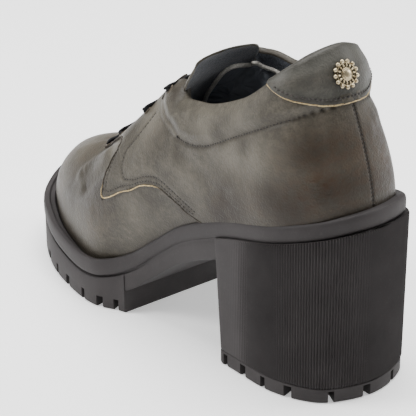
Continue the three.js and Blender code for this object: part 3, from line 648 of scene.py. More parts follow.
# Soft ridges and troughs: height and width in mm, line of the side view
CREASES = [
    # Fold over the ball of the foot, and the dip in front of it
    (1.5, 4.5, [(187, 60.5), (182.9, 65.4), (177, 70.4), (166, 77.5)]),
    (-1.4, 4.0, [(176, 58), (168, 65.5), (161.5, 72), (157, 77.5)]),
    # Dips under the ankle and along the quarter
    (-0.9, 6.0, [(99.8, 100.6), (88.8, 97), (77, 93.3), (66, 90)]),
    (-0.8, 7.0, [(76.7, 103), (62.9, 101.8), (46.1, 103.4), (33.7, 104.4)]),
    # Upper edge of the counter, and the dip under the wing of the quarter
    (0.5, 4.0, [(70, 92.5), (52, 112), (38, 122), (25, 128.5), (17, 127)]),
    (-0.5, 4.0, [(158, 52), (150, 55), (140, 58), (128, 62)]),
]

# Patches of brown burnish, and of lighter leather that is partly rubbed and partly painted highlight:
# along, height, reach in mm, strength
BURNISH = [
    (17.4, 120, 13, 0.7), (14, 106, 12, 0.9), (22, 98, 13, 0.9), (30, 114, 9, 0.4), (8, 99, 8, 0.6),
    (212, 50, 15, 0.35), (196, 69, 12, 0.25), (160, 50, 14, 0.3), (126, 106, 10, 0.2),
    (64, 80, 13, 0.5), (44, 92, 12, 0.4),
]
RUB_AND_HIGHLIGHT = [
    (62, 109, 12, 0.6), (44, 112, 11, 0.6), (92, 88, 13, 0.35), (82, 117, 9, 0.5), (30, 118, 7, 0.2),
    (58, 128, 7, 0.4), (208, 66, 12, 0.5), (130, 106, 11, 0.6), (130, 58, 9, 0.4), (160, 84, 7, 0.5),
]
# Spots of painted shade: along, height, reach in mm, strength
PAINTED_SHADE_SPOTS = [
    (34, 96, 15, 0.75), (115, 98, 12, 0.35), (64, 92, 13, 0.7), (175, 70, 10, 0.5), (150, 79, 7, 0.4),
    (60, 84, 17, 0.85), (68, 77, 12, 0.95), (26, 93, 16, 0.85), (120, 67, 10, 0.4), (160, 63, 12, 0.8),
    (174, 56, 13, 0.75), (192, 52, 14, 0.7), (206, 57, 9, 0.55), (226, 44, 12, 0.4), (94, 73, 10, 0.75),
    (70, 116, 6, 0.65), (54, 117, 6, 0.5), (118, 120, 6, 0.6), (38, 131, 6, 0.5), (12, 102, 10, 0.6),
    (146, 60, 9, 0.45), (104, 84, 8, 0.4), (22, 121, 10, 0.6), (148, 96, 9, 0.45), (84, 92, 7, 0.3),
    (100, 100, 7, 0.4), (84, 109, 6, 0.3),
]

# Lower edge of the heel tab: rows from the back seam, share of the wall's height
TAB_EDGE = np.array([
    (0, 0.667), (0.25, 0.667), (0.7, 0.675), (1.18, 0.7), (1.62, 0.742), (1.98, 0.79),
    (2.3, 0.845), (2.6, 0.91), (2.8, 0.955), (2.95, 0.99),
])
TAB_REACH = 2.95
SIDES = (1, -1)


def on_both(line, step=1.5):
    """A line of the side view laid on the lateral and on the medial wall, as places (s, t)."""
    line = dense(line, step)
    return [on_side(line[:, 0], line[:, 1], side) for side in SIDES]


wing_edges, wing_stitches, inner_stitches, collar_stitches = (
    on_both(line) for line in (WING_EDGE, WING_STITCH, INNER_STITCH, COLLAR_STITCH)
)


def side_view(points):
    """Places of points in the side view."""
    return -points[..., 1], points[..., 2]


def on_wall(lines):
    return [wall_point(line[:, 0], line[:, 1]) for line in lines]


def reach(points, paths):
    """Distance in mm from points to the nearest point of some paths."""
    best = np.full(points.shape[:-1], 1e9)
    for a in np.vstack(paths):
        best = np.minimum(best, ((points - a) ** 2).sum(-1))
    return np.sqrt(best)


def hump(distance, width):
    return np.exp(-((distance / width) ** 2))


def ridge(distance, height, width):
    return height * hump(distance, width)


def patches(points, table):
    """The strongest of the soft spots given in the side view, the same on both sides."""
    total = np.zeros(points.shape[:-1])
    for along, height, spread, strength in table:
        away = np.hypot(points[..., 1] + along, points[..., 2] - height)
        total = np.maximum(total, ridge(away, strength, spread))
    return total


# Upper: leather shell with its rolled top edge, a grid of (s, t)
STATIONS = 560
UP_STEPS = 92
CORNER_ROW = 6.95
EASE_REACH = 24
PUFF = 2.2
# A height over the whole shoe, a distance past any seam, and the reach of the back seam along the shoe
HIGH_UP = 300
FAR = 50
BACK_END = 40
# Depth and width of the seams' troughs, height and width of the piping's ridge
SEAM_DIP = (0.35, 0.9)
COLLAR_DIP = (0.6, 1.2)
BACK_DIP = (0.5, 0.8)
PIPING_RIDGE = (0.45, 1.0)
s_row = np.arange(STATIONS) * ROWS / STATIONS
t_row = np.linspace(0, 1, UP_STEPS + 1) ** 0.94
S, T = np.meshgrid(s_row, t_row)
from_top = (1 - T) * wall_height(s_row)


def on_shell(line, table):
    """Values of a grid of the shell at places (s, t)."""
    i = line[:, 0] * STATIONS / ROWS
    j = np.interp(line[:, 1], t_row, np.arange(UP_STEPS + 1))
    i0, j0 = np.floor(i).astype(int), np.minimum(np.floor(j).astype(int), UP_STEPS - 1)
    f, g = (i - i0)[:, None], (j - j0)[:, None]
    i0, i1 = i0 % STATIONS, (i0 + 1) % STATIONS
    low, high = (table[k, i0] * (1 - f) + table[k, i1] * f for k in (j0, j0 + 1))
    return low * (1 - g) + high * g


def eased(points):
    """The grid with the fold under the facings' top corners made softer."""
    near = np.maximum(hump(s_row - CORNER_ROW, 0.9), hump(s_row - (ROWS - CORNER_ROW), 0.8))
    near = near * (1 - 0.3 * smooth(t_row, 0.84, 1))[:, None]
    shifts = np.arange(-EASE_REACH, EASE_REACH + 1)
    weights = np.exp(-((shifts / (0.6 * EASE_REACH)) ** 2))
    soft = sum(np.roll(points, k, axis=1) * w for k, w in zip(shifts, weights / weights.sum()))
    return points + (soft - points) * near[..., None]


plain = eased(wall_point(S, T))
grid_up = np.gradient(plain, axis=0)
grid_across = np.roll(plain, -2, axis=1) - np.roll(plain, 2, axis=1)
shell_out = unit(eased(unit(np.cross(grid_up, grid_across))))
from_edge = reach(plain, on_wall(wing_edges))
seam = reach(plain, [on_shell(line, plain) for line in wing_stitches + inner_stitches])
collar_seam = reach(plain, [on_shell(line, plain) for line in collar_stitches])
piping = line_distance(*side_view(plain), dense(PIPING, 1.5))
back_seam = np.abs(plain[..., 0]) + FAR * (plain[..., 1] < -BACK_END)

# Share of the quarters: 1 where they lie over the vamp, 0 outside, with a short slope between
edge = dense(WING_EDGE, 1.5)
behind = np.linspace(edge[-1, 0] - 3, -8, 12)
lip = np.stack([behind, lip_top(behind) - 4], -1)
loop = np.vstack([edge, lip, [(-8, HIGH_UP), (edge[0, 0], HIGH_UP)]])
share = inside(*side_view(plain), loop) * smooth(from_edge, 0, 0.7)

# Padded collar over its seam and its piping, then the creases, the seams and the piping's ridge
line = np.vstack([dense(PIPING, 1.5), dense(COLLAR_STITCH, 1.5)])
loop = np.vstack([line, [(-10, 139), (-10, HIGH_UP), (line[0, 0], HIGH_UP)]])
puff = PUFF * inside(*side_view(plain), loop) * smooth(from_top, -1, 7)
creases = sum(
    ridge(reach(plain, on_wall(on_both(line, 4.0))), height, width) for height, width, line in CREASES
)
shell_face = puff * smooth(np.minimum(collar_seam, piping), 0, 5) + QUARTER_STEP * share + creases
shell_face -= ridge(seam, *SEAM_DIP) + ridge(collar_seam, *COLLAR_DIP) + ridge(back_seam, *BACK_DIP)
shell_face += ridge(piping, *PIPING_RIDGE) * smooth(from_top, 0.5, 3)
shell_skin = plain + shell_out * shell_face[..., None]

# The rolled edge, and a few rings down inside it
ROLL = 6
INNER_RINGS = 3
roll_angles = np.linspace(0, np.pi, ROLL + 2)[1:-1]
shell_rings = [*shell_skin, *rolled(plain[-1], shell_out[-1], unit(plain[-1] - plain[-2]), shell_face[-1],
                                    lining_face(s_row, np.ones(STATIONS)), roll_angles, 0.55)]
for k in range(INNER_RINGS):
    inward = lining_face(s_row, t_row[-1 - 2 * k]) - 0.1 * k
    shell_rings.append(plain[-1 - 2 * k] + shell_out[-1 - 2 * k] * inward[:, None])


def grown(values, fill=None):
    """The attribute of the shell, carried on over its rolled edge."""
    last = values[-1:] if fill is None else np.full((1, STATIONS), fill)
    return np.vstack([values, np.repeat(last, ROLL + INNER_RINGS, 0)])


# Painted shade: darker near the wall's foot by the sole, in a line beside the quarters' cut edge, in the
# listed spots, in the troughs of the seams, along the back seam and beside the piping; it goes on over the
# rolled top edge
shade = np.maximum.reduce([
    0.6 * hump(T * wall_height(S), 9.0), 0.5 * hump(np.abs(from_edge - 0.4), 1.0) * (share < 0.5),
    patches(plain, PAINTED_SHADE_SPOTS), 0.55 * hump(seam, 1.1), 0.6 * hump(collar_seam, 1.5),
    0.75 * hump(back_seam, 1.0) * (T < 0.7), 0.4 * hump(piping - 1.6, 1.0),
])
# Lighter leather: rubbed spots that are partly painted highlight, and a painted highlight along the
# piping's ridge
rub_and_highlight = np.maximum(patches(plain, RUB_AND_HIGHLIGHT), 0.4 * hump(piping, 0.9))
leather = leather_with_wear_and_painted_light("upper_leather", (74, 70, 62), (106, 101, 90), (50, 47, 41), (58, 40, 25))
shell = grid_object("upper_shell", shell_rings, leather, attributes={
    "burnish": grown(patches(plain, BURNISH)), "rub_and_highlight": grown(rub_and_highlight), "shade": grown(shade, 0.35),
})
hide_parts("upper")

# Lining: padded collar inside, and the plain lining further down
LINING_DEPTH = 40
t_in = np.linspace(1, 0.08, LINING_DEPTH)
SI, TI = np.meshgrid(s_row, t_in)
BINDING = [
    (16.9, 0.93), (17.4, 0.935), (17.9, 0.93), (18.4, 0.92), (19.2, 0.9), (20.4, 0.87), (21.6, 0.84),
    (22.8, 0.82), (24, 0.82), (25.2, 0.82), (26.4, 0.82), (27.6, 0.82), (28.6, 0.82), (29.6, 0.82),
    (30.6, 0.84), (31.4, 0.86),
]
# Where the binding leaves the wall and runs over the tongue's lining
BINDING_FRONT = [
    (-17.6, -109.1, 130.2), (-12.8, -109.3, 131), (-9.5, -109.4, 131.4), (-5.8, -109.8, 131.2),
    (-3.3, -111.9, 129), (-2.6, -115, 125.4), (-2.9, -119.5, 120.2), (-3.8, -124.7, 114.5),
    (-6.8, -130.4, 108.9), (-9.9, -136.4, 102.3),
]
binding = dense(BINDING, 0.05)
LINING_GAP = 0.4
LINING_STEP = 0.5
WRINKLE = 0.35
BAND_DROP = 0.9
BAND_WIDE, BAND_THICK = 2.3, 2.2
binding_at = np.interp(np.where(SI < 12, SI + ROWS, SI), binding[:, 0], binding[:, 1])
below = smooth(binding_at - TI, 0, 0.02)
wrinkle = np.sin(1.7 * SI + 9 * TI) * np.sin(2.9 * SI - 14 * TI + 1.3)
lining_lift = (LINING_STEP + WRINKLE * wrinkle) * below - LINING_GAP
collar_cloth = cloth("collar_cloth", (52, 55, 61), (76, 80, 88))
# Painted light: the shiny lining's grey is much lighter than the real black lining, to stand in for light
# falling inside the shoe
shiny = Paint("shiny_lining", Base_Color=screen((118, 122, 128)), Roughness=0.22, Specular_IOR_Level=0.9)
shiny_lining = shiny.finish(layers=[(shiny.noise(12, 2, warp=1.4), 3.0)])
lining = grid_object("collar_lining", over(lining_face, SI, TI, lining_lift), collar_cloth)
lining.data.materials.append(shiny_lining)
which = ((below[1:] + below[:-1]) / 2).ravel() > 0.5
lining.data.polygons.foreach_set("material_index", which.astype(int).tolist())
wall_band = over(lining_face, *binding[4::6].T, -0.5)
band = dense(np.vstack([BINDING_FRONT[::-1], wall_band]), 1.0) - (0, 0, BAND_DROP)
band_side = unit(np.cross(np.gradient(band, axis=0), [1.0, 0.3, 0.2]))
grey_tape = cloth("grey_tape", (160, 157, 150), (205, 201, 192), gloss=0.6)
binding_object = grid_object("lining_binding", tube(band, band_side, BAND_WIDE, BAND_THICK, 10),
                             grey_tape, caps=True)

# Insole
INSOLE_ROWS = 288
s_in = np.arange(INSOLE_ROWS) * ROWS / INSOLE_ROWS
insole_inset = ledge_at(s_in) + WALL + 5 * GAP
insole_base = lip_top(along_at(s_in)) - SEAT_DEPTH + 2 * GAP
insole_rings = [
    inset_point(s_in, insole_inset + inset, insole_base + rise * INSOLE_THICK)
    for inset, rise in ((0, 0), (0, 0.75), (0.3, 0.93), (0.9, 1))
]
insole = make_object("insole_board", np.vstack(insole_rings), capped(insole_rings),
                     cloth("insole_cloth", (30, 30, 33), (50, 50, 54), gloss=0.6))
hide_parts("insole")

# Heel tab: a saddle of leather with a raw edge, rolled over the collar's edge
TAB_COLUMNS = 150
TAB_ROWS = 34
tab_span = np.linspace(-TAB_REACH, TAB_REACH, TAB_COLUMNS)
tab_low = np.interp(np.abs(tab_span), TAB_EDGE[:, 0], TAB_EDGE[:, 1])
tab_s = tab_span % ROWS
tab_end = np.ones(TAB_COLUMNS)


def tab_face(s, t):
    return quarter_face(s, t) + 2 * GAP + TAB_THICK + 0.5 * hump((t - 0.9) * wall_height(s), 5)


# The lower edge turns in to the quarter under it
tab_rings = [skin_point(tab_s, tab_low + 0.004, quarter_face(tab_s, tab_low) - 0.2)]
for share_up in np.linspace(0, 1, TAB_ROWS):
    t_tab = tab_low + (1 - tab_low) * share_up
    rounding = 0.55 * hump(share_up * (1 - tab_low) * 70, 0.5)
    tab_rings.append(over(tab_face, tab_s, t_tab, -rounding))
tab_top = wall_point(tab_s, tab_end)
tab_rings += rolled(tab_top, wall_out(tab_s, tab_end), unit(tab_top - wall_point(tab_s, tab_end - 0.02)),
                    tab_face(tab_s, tab_end), lining_face(tab_s, tab_end) - 0.5,
                    np.linspace(0, np.pi, 8)[1:], 0.75)
tab_rings.append(skin_point(tab_s, tab_end - 0.05, lining_face(tab_s, tab_end) - 0.2))
tab_up = np.linspace(-0.03, 1.2, len(tab_rings))[:, None] + np.zeros(TAB_COLUMNS)
tab_leather = leather_with_wear_and_painted_light("tab_leather", (70, 69, 64), (90, 89, 83), (50, 49, 45), (62, 52, 42))
# On the tab: painted shade along its lower edge and inside its rolled top, and a lighter band near its top
# that is partly rubbed and partly painted highlight
heel_tab = grid_object("heel_tab_leather", tab_rings, tab_leather, closed=False, attributes={
    "burnish": 0.25 * hump(tab_up - 0.55, 0.25), "rub_and_highlight": 0.25 * hump(tab_up - 0.8, 0.12),
    "shade": np.maximum(0.5 * hump(tab_up - 0.06, 0.07), 0.35 * hump(tab_up - 1.05, 0.08)),
})
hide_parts("heel_tab")

# Tongue: shares of SOLE_LENGTH along and INSTEP_RISE up, of TONGUE_WIDTH aside and wide, and its arch
TONGUE = np.array([
    (0.77, 0.395, -0.02, 0.62, 0.3), (0.728, 0.425, -0.02, 0.7, 0.36), (0.65, 0.58, -0.02, 0.74, 0.46),
    (0.56, 0.785, -0.02, 0.74, 0.44), (0.51, 0.905, 0.0, 0.72, 0.34), (0.475, 0.99, 0.01, 0.71, 0.24),
    (0.45, 1.07, 0.04, 0.74, 0.16), (0.43, 1.133, 0.03, 0.81, 0.1), (0.413, 1.19, 0.01, 0.86, 0.08),
    (0.4, 1.232, 0.04, 0.84, 0.08), (0.39, 1.254, 0.07, 0.7, 0.07), (0.384, 1.264, 0.1, 0.5, 0.06),
    (0.381, 1.267, 0.11, 0.26, 0.04),
])
TONGUE_SIDES = 28


def tongue_ring(row):
    along, rise, shift, width, arch = row
    half = width * TONGUE_WIDTH / 2
    middle = np.array([shift * TONGUE_WIDTH, -along * SOLE_LENGTH, PLATFORM + rise * INSTEP_RISE])
    side = np.linspace(-1, 1, TONGUE_SIDES)
    drop = arch * half * side**2
    top = middle + np.stack([side * half, drop * 0.35, -drop], -1)
    thick = TONGUE_THICK * (0.45 + 0.55 * smooth(along, 0.382, 0.42))
    under = top[::-1] - (0, 0, thick)
    return np.vstack([top, top[-1] + (0.5, 0, -thick / 2), under, top[0] + (-0.5, 0, -thick / 2)])


tongue_rings = np.array([tongue_ring(row) for row in dense(TONGUE, 0.02)])
under_side = np.zeros(2 * TONGUE_SIDES + 2, bool)
under_side[TONGUE_SIDES + 1:-1] = True
under_side = np.tile(under_side, len(tongue_rings))
tongue = grid_object("tongue_leather", tongue_rings, leather, caps=True)
tongue.data.materials.append(collar_cloth)
tongue.data.materials.append(shiny_lining)
LINED = np.array([(x, -y) for x, y, _ in BINDING_FRONT] + [(-9.9, 200), (-40, 200), (-40, 109.1)])
for face in tongue.data.polygons:
    if all(v >= len(under_side) or under_side[v] for v in face.vertices):
        centre = face.center * 1000 - Vector((*SHIFT, 0))
        face.material_index = 2 if inside(centre.x, -centre.y, LINED) else 1
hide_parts("tongue")


def tongue_top(x, along):
    """Height of the tongue's upper face over a place."""
    rise, shift, width, arch = (
        np.interp(along / SOLE_LENGTH, TONGUE[::-1, 0], TONGUE[::-1, k]) for k in (1, 2, 3, 4)
    )
    half = width * TONGUE_WIDTH / 2
    side = np.clip((x - shift * TONGUE_WIDTH) / half, -1.2, 1.2)
    return PLATFORM + rise * INSTEP_RISE - arch * half * side**2


# Stitches: pitch, length, radius and sink of each kind in mm
SEAM_KIND = (2.0, 1.24, 0.32, 0.08)
BACK_KIND = (1.9, 1.178, 0.32, 0.05)
TAB_KIND = (2.3, 1.5, 0.5, 0.05)
TACK_KIND = (0.95, 0.9, 0.55, 0.0)
TACKS = [[(153.6, 59.6), (152.6, 66)], [(104.6, 105.6), (103, 105.3)], [(134.4, 116.2), (132, 112.6)]]
# Distance of the stitches from the back seam, and length of one row of OUTLINE there
BACK_GAP = 0.9
MM_PER_ROW = 18
stitches = Heap()


def sew_shell(line, kind):
    sew(stitches, on_shell(line, shell_skin), on_shell(line, shell_out), *kind)


for line in wing_stitches + inner_stitches + collar_stitches:
    sew_shell(line, SEAM_KIND)
for gap in (-BACK_GAP, BACK_GAP):
    sew_shell(np.stack([np.full(60, gap / MM_PER_ROW % ROWS), np.linspace(0.03, 0.66, 60)], -1), BACK_KIND)
tab_line = dense(np.stack([tab_span, tab_low + 2.6 / 75], -1)[3:-3:4], 0.05)
tab_line = (tab_line[:, 0] % ROWS, tab_line[:, 1])
sew(stitches, over(tab_face, *tab_line), wall_out(*tab_line), *TAB_KIND)
for tack in TACKS:
    for line in on_both(tack, 0.4):
        sew_shell(line, TACK_KIND)
stitch_object = stitches.build("stitches", thread())

# Cut edges of the quarters, the facings and the heel tab
FACING_ROWS = (7.0, 10.6)
FACING_STEPS = 60
# Width and thickness of the strips along the cut edges
QUARTER_CUT = (0.85, 0.65)
FACING_CUT = (1.1, 0.9)
TAB_CUT = (1.3, 0.85)
edges = Heap()


def edge_strip(path, normals, size, cream):
    edges.add(tube(path, normals, *size, 8), tube_faces(len(path), 8),
              np.repeat(np.broadcast_to(cream, len(path)), 8))


for line in wing_edges:
    out = on_shell(line, shell_out)
    path = on_shell(line, shell_skin) + 0.45 * out
    along = -path[:, 1]
    cream = smooth(along, 110, 119) * (1 - smooth(path[:, 2], 64, 69) * smooth(along, 149, 151))
    edge_strip(path, out, QUARTER_CUT, cream)
for side in SIDES:
    s_face = side * np.linspace(*FACING_ROWS, FACING_STEPS) % ROWS
    t_face = np.ones(FACING_STEPS)
    lift = unit(wall_point(s_face, 1.0) - wall_point(s_face, 0.98)) * 0.55
    edge_strip(skin_point(s_face, t_face, QUARTER_STEP * 0.3) + lift, wall_out(s_face, t_face),
               FACING_CUT, smooth(np.arange(FACING_STEPS), 4, 14) * 0.65)
edge_strip(over(quarter_face, tab_s, tab_low, 1.3), wall_out(tab_s, tab_low), TAB_CUT, 0.85)
edge_object = edges.build("cut_edges", raw_edge(), "cream")

# Laces: flat cords through four pairs of eyelets, over the tongue
LACE_WIDE = 4.4
LACE_FLAT = 1.7
LACE_SIDES = 14
# Places of the cord under and over an eyelet, and over the tongue
LACE_UNDER = -2.6
LACE_OVER = 1.3
LACE_CLEAR = 1.2
EYELET_HOLE = 2.3
RING_WIDE = 0.55
RING_HIGH = 0.4
cords = Heap()


def eyelet_at(side, row, lift):
    """Place and normal of an eyelet, at a height over the facing."""
    share_up = 0.07 + 0.84 * row / (EYELET_ROWS - 1)
    s = side * (9.6 - share_up * 2.6) % ROWS
    length = run_along(wall_point(s, np.linspace(0, 1, 60)))[-1]
    place = np.array([(s, 1 - EYELET_INSET / length)])
    normal = on_shell(place, shell_out)[0]
    return on_shell(place, shell_skin)[0] + lift * normal, normal


def lace(first, last, lift):
    """A cord out of one eyelet, over the facings and the tongue, into another."""
    (under_a, out_a), (under_b, out_b) = (eyelet_at(*eyelet, LACE_UNDER) for eyelet in (first, last))
    above_a, above_b = (eyelet_at(*eyelet, LACE_OVER)[0] for eyelet in (first, last))
    up = unit((out_a + out_b) * np.array([0, 1, 1]))
    points = [under_a, above_a]
    for f in (0.12, 0.3, 0.5, 0.7, 0.88):
        p = above_a + (above_b - above_a) * f + up * (lift * math.sin(math.pi * f))
        if 0.25 < f < 0.75:
            p[2] = max(p[2], tongue_top(p[0], -p[1]) + LACE_CLEAR + 0.5 * lift)
        points.append(p)
    path = dense(points + [above_b, under_b], 0.8)
    across = np.cross(unit(np.gradient(path, axis=0)), up)
    cords.add(tube(path, across, LACE_WIDE, LACE_FLAT, LACE_SIDES, 0.7), tube_faces(len(path), LACE_SIDES))


lace((1, 0), (-1, 0), 0.6)
lace((1, EYELET_ROWS - 1), (-1, EYELET_ROWS - 1), 1.2)
for row in range(EYELET_ROWS - 1):
    lace((1, row), (-1, row + 1), 0.8)
    lace((-1, row), (1, row + 1), 1.9)
laces = cords.build("lace_cords", cloth("lace_cloth", (14, 14, 16), (30, 30, 33), 0.7, 0.8, 0.02))
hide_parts("laces")

rings_heap = Heap()
for side in SIDES:
    for row in range(EYELET_ROWS):
        centre, normal = eyelet_at(side, row, 0.15)
        a = unit(np.cross(normal, [0, 0, 1.0]))
        b = np.cross(normal, a)
        radial = a * np.cos(turns(24))[:, None] + b * np.sin(turns(24))[:, None]
        section = turns(8)[:, None]
        rings = (centre + EYELET_HOLE * radial)[:, None] + radial[:, None] * RING_WIDE * np.cos(section)
        rings_heap.add(rings + normal * RING_HIGH * np.sin(section), grid_faces(24, 8, closed_rows=True))
eyelet_paint = Paint("eyelet_metal", Metallic=1.0, Roughness=0.42)
eyelet_tone = eyelet_paint.blend(eyelet_paint.noise(1.5), (58, 52, 46), (96, 88, 78))
eyelets = rings_heap.build("eyelet_rings", eyelet_paint.finish(eyelet_tone))

# Stud: a rosette with a beaded edge, a ring of petals over a dark ground and a pale dome
BEADS = 13
PETALS = 14
BEAD_RING = 5.85
PETAL_RING = 3.95
DISC_STEPS = 96
STUD_SPOT = (0.25, 0.84)
stud_heap = Heap()
stud_out = wall_out(*STUD_SPOT)
stud_centre = over(tab_face, *STUD_SPOT, 0.1)
stud_right = unit(np.cross([0, 0, 1.0], stud_out))
stud_frame = np.array([stud_right, np.cross(stud_out, stud_right), stud_out])


def stud_add(x, y, z, dark):
    """One solid of the stud, from the places of its rings over the tab."""
    local = np.stack(np.broadcast_arrays(x, y, z), -1)
    stud_heap.add(stud_centre + local @ stud_frame, tube_faces(*local.shape[:2]), dark)


def stud_disc(profile, dark, lobes=0, depth=0.0):
    """A turned disc, from (radius, height) places of its profile."""
    radius, height = np.array(profile).T[:, :, None]
    angle = turns(DISC_STEPS)
    wave = radius * (1 + depth * np.cos(lobes * angle))
    stud_add(wave * np.cos(angle), wave * np.sin(angle), height, dark)


def stud_ball(ring, turn, height, size, dark, lean=0.0):
    """An oval bead or petal, at a radius and an angle of the stud."""
    latitude, angle = np.linspace(-1.4, 1.4, 8)[:, None], turns(12)
    x = size[0] * np.cos(latitude) * np.cos(angle)
    y = size[1] * np.cos(latitude) * np.sin(angle)
    c, d = math.cos(lean), math.sin(lean)
    stud_add(ring * math.cos(turn) + x * c - y * d, ring * math.sin(turn) + x * d + y * c,
             height + size[2] * np.sin(latitude), dark)


stud_disc([(5.9, 0), (5.9, 1.0), (5.6, 1.3), (4.9, 1.35)], 0.85)
stud_disc([(5.2, 1.2), (5.2, 1.6), (5.0, 1.7), (4.85, 1.55), (4.8, 1.2)], 0.1)
for k in range(BEADS):
    stud_ball(BEAD_RING, 2 * math.pi * (k + 0.5) / BEADS, 1.0, (1.0, 1.0, 0.9), 0.0)
for k in range(PETALS):
    turn = 2 * math.pi * k / PETALS
    stud_ball(PETAL_RING, turn, 1.45, (0.8, 0.46, 0.5), 0.05, turn)
stud_disc([(2.95, 1.2), (2.95, 1.7), (2.7, 1.85), (2.45, 1.75)], 0.1)
stud_disc([(2.45, 1.3), (2.4, 1.9), (2.0, 2.15), (1.3, 2.4), (0.6, 2.5), (0.2, 2.52)], 0.12, PETALS, 0.03)
stud = stud_heap.build("stud_rosette", antique_metal(), "dark", smooth_angle=50)
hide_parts("stud")

# Sole: lip, groove and side wall over the whole plan, as (inset, height) of each ring
SOLE_ROWS = 576
s_sole = np.arange(SOLE_ROWS) * ROWS / SOLE_ROWS
sole_along = along_at(s_sole)
sole_top, sole_foot = lip_top(sole_along), lip_foot(sole_along)
fore = smooth(sole_along, TREAD_START - 25, TREAD_START + 15)
groove = 1.3 + (GROOVE_DEPTH - 1.1) * fore
seat_mouth = ledge_at(s_sole) - 4 * GAP
channel = CHANNEL_DEPTH * smooth(sole_along, TREAD_START - 22, TREAD_START + 5)
bead = np.clip(LIP_ROUND + 0.3 * (seat_mouth - LIP_ROUND), 1.0, 2.6)
slab = [
    (2.4, sole_foot - WAIST_SIDE),
    (1.5, sole_foot - WAIST_SIDE + 0.4),
    (1.1, sole_foot - WAIST_SIDE + 1.4),
    (0.9, sole_foot - GROOVE_HEIGHT - 0.9),
    (1.1, sole_foot - GROOVE_HEIGHT - 0.2),
    (groove, sole_foot - 0.7 * GROOVE_HEIGHT),
    (groove, sole_foot - 0.1 * GROOVE_HEIGHT),
]
for share_up in (0.01, 0.05, 0.12, 0.25, 0.45, 0.65, 0.8, 0.9, 0.96):
    slab.append((abs(2 * share_up - 1) ** 4 * (1.1 - 0.2 * fore), sole_foot + share_up * LIP_HEIGHT))
slab += [
    (0.5 * bead + 0.9, sole_top),
    (bead + 0.8, sole_top - 0.12 - 0.1 * channel),
    (np.minimum(bead + 1.5, seat_mouth - 0.1), sole_top - 0.2 - 0.9 * channel),
    (seat_mouth, sole_top - 0.2 - channel),
    (seat_mouth + 1.0, sole_top - SEAT_DEPTH),
]
slab_rings = [inset_point(s_sole, inset, height) for inset, height in slab]
sole_parts = Heap()
sole_parts.add(slab_rings, capped(slab_rings))


def with_notches(places, notches, span):
    """Stations with a pair at each notch's two walls; the second array marks the notched ones."""
    middle, width = np.array(notches).T
    walls = np.concatenate([middle - width / 2, middle + width / 2])
    stops = np.unique(np.concatenate([places, walls - 0.02 * span, walls + 0.02 * span]))
    return stops, (np.abs(stops[:, None] - middle) < width / 2).any(1)


# Forefoot tread, with its rounded lugs and its cells; the notches are given in rows of OUTLINE
HEEL_NOTCHES = [4.1, 3.67, 3.18, 2.6, 1.45, 0.3, -0.85, -2, -2.8, -3.35, -3.85]
TREAD_NOTCHES = [
    7.2, 7.75, 8.38, 9.05, 9.55, 10.07, 10.6, 11.2, 12.1, 13, 13.6, 14.15, 14.65, 15.2, 15.8, 16.4,
]
WIDE, NARROW = 4.0, 2.8
CELL_BORDER = 11.0
CELL_DEPTH = 3.0
BOX_FACES = [(0, 1, 3, 2), (4, 5, 7, 6), (0, 1, 5, 4), (2, 3, 7, 6), (0, 2, 6, 4), (1, 3, 7, 5)]


def notch_width(k):
    return NARROW if k % 2 == 0 else WIDE


def row_length(s):
    """Millimetres of edge in one row at a place."""
    return np.linalg.norm(plan(s + 0.05) - plan(s - 0.05)) / 0.1


def cross_bar(middle, width, along, length, low, high):
    """A bar of the tread between two cells."""
    sole_parts.add([(middle + x, -a, z) for z in (low, high) for a in (along, along + length)
                    for x in (-width / 2, width / 2)], BOX_FACES)


tread_notches = [(s, notch_width(k) / row_length(s)) for k, s in enumerate(TREAD_NOTCHES)]
s_fine = np.linspace(6, 18, 1201)
ahead = s_fine[along_at(s_fine) >= TREAD_START]
s_tread, in_notch = with_notches(np.linspace(ahead[0], ahead[-1], 260), tread_notches, 0.1)
tread_along = along_at(s_tread)
spring = spring_at(tread_along)
notch_depth = np.where(in_notch, NOTCH_REACH, 0.0)
groove_foot = lip_foot(tread_along) - GROOVE_HEIGHT
border = inset_point(s_tread, CELL_BORDER, spring)
border[:, 1] = np.minimum(border[:, 1], -(TREAD_START + 7))
tread_rings = [border + (0, 0, CELL_DEPTH), border] + [
    inset_point(s_tread, TREAD_INSET + inset + notch_depth * share_in, height)
    for inset, share_in, height in (
        (1.2, 1, spring), (0.4, 1, spring + 0.35), (0, 1, spring + 1.3),
        (0, 1, spring + NOTCH_HEIGHT - 0.7), (0, 0.8, spring + NOTCH_HEIGHT - 0.1),
        (0, 0, spring + NOTCH_HEIGHT), (0, 0, spring + NOTCH_HEIGHT + 0.8),
        (0, 0, groove_foot - 0.9), (0.6, 0, groove_foot),
    )
]
sole_parts.add(tread_rings, capped(tread_rings, 1))


def width_at(along, inset):
    """Middle and width of the sole's plan inside a border, at a place along it."""
    s = np.linspace(0, ROWS, 961)
    p = inset_point(s, inset, 0.0)
    lateral, medial = p[s <= 12], p[s >= 12]
    right = np.interp(along, -lateral[:, 1], lateral[:, 0])
    left = np.interp(along, -medial[::-1, 1], medial[::-1, 0])
    return (left + right) / 2, right - left


for along in np.arange(TREAD_START + 14, SOLE_LENGTH - 18, 11.0):
    low = float(spring_at(along + 2)) + 0.1
    cross_bar(*width_at(along + 2, CELL_BORDER - 0.4), along, 4.5, low, low + 4)

# Heel block: a plain notched foot, and fine upright ribs up to the lip
RIB_PITCH = 1.3
RIB_DEPTH = 0.42
RIB_POINTS = 4
BREAST_ROWS = 5.2
s_back = np.linspace(-BREAST_ROWS, BREAST_ROWS, 2401)
edge_s = s_back[along_at(s_back) <= HEEL_LENGTH - BREAST_CORNER]
edge_run = run_along(plan(edge_s))
edge_end = edge_run[-1]


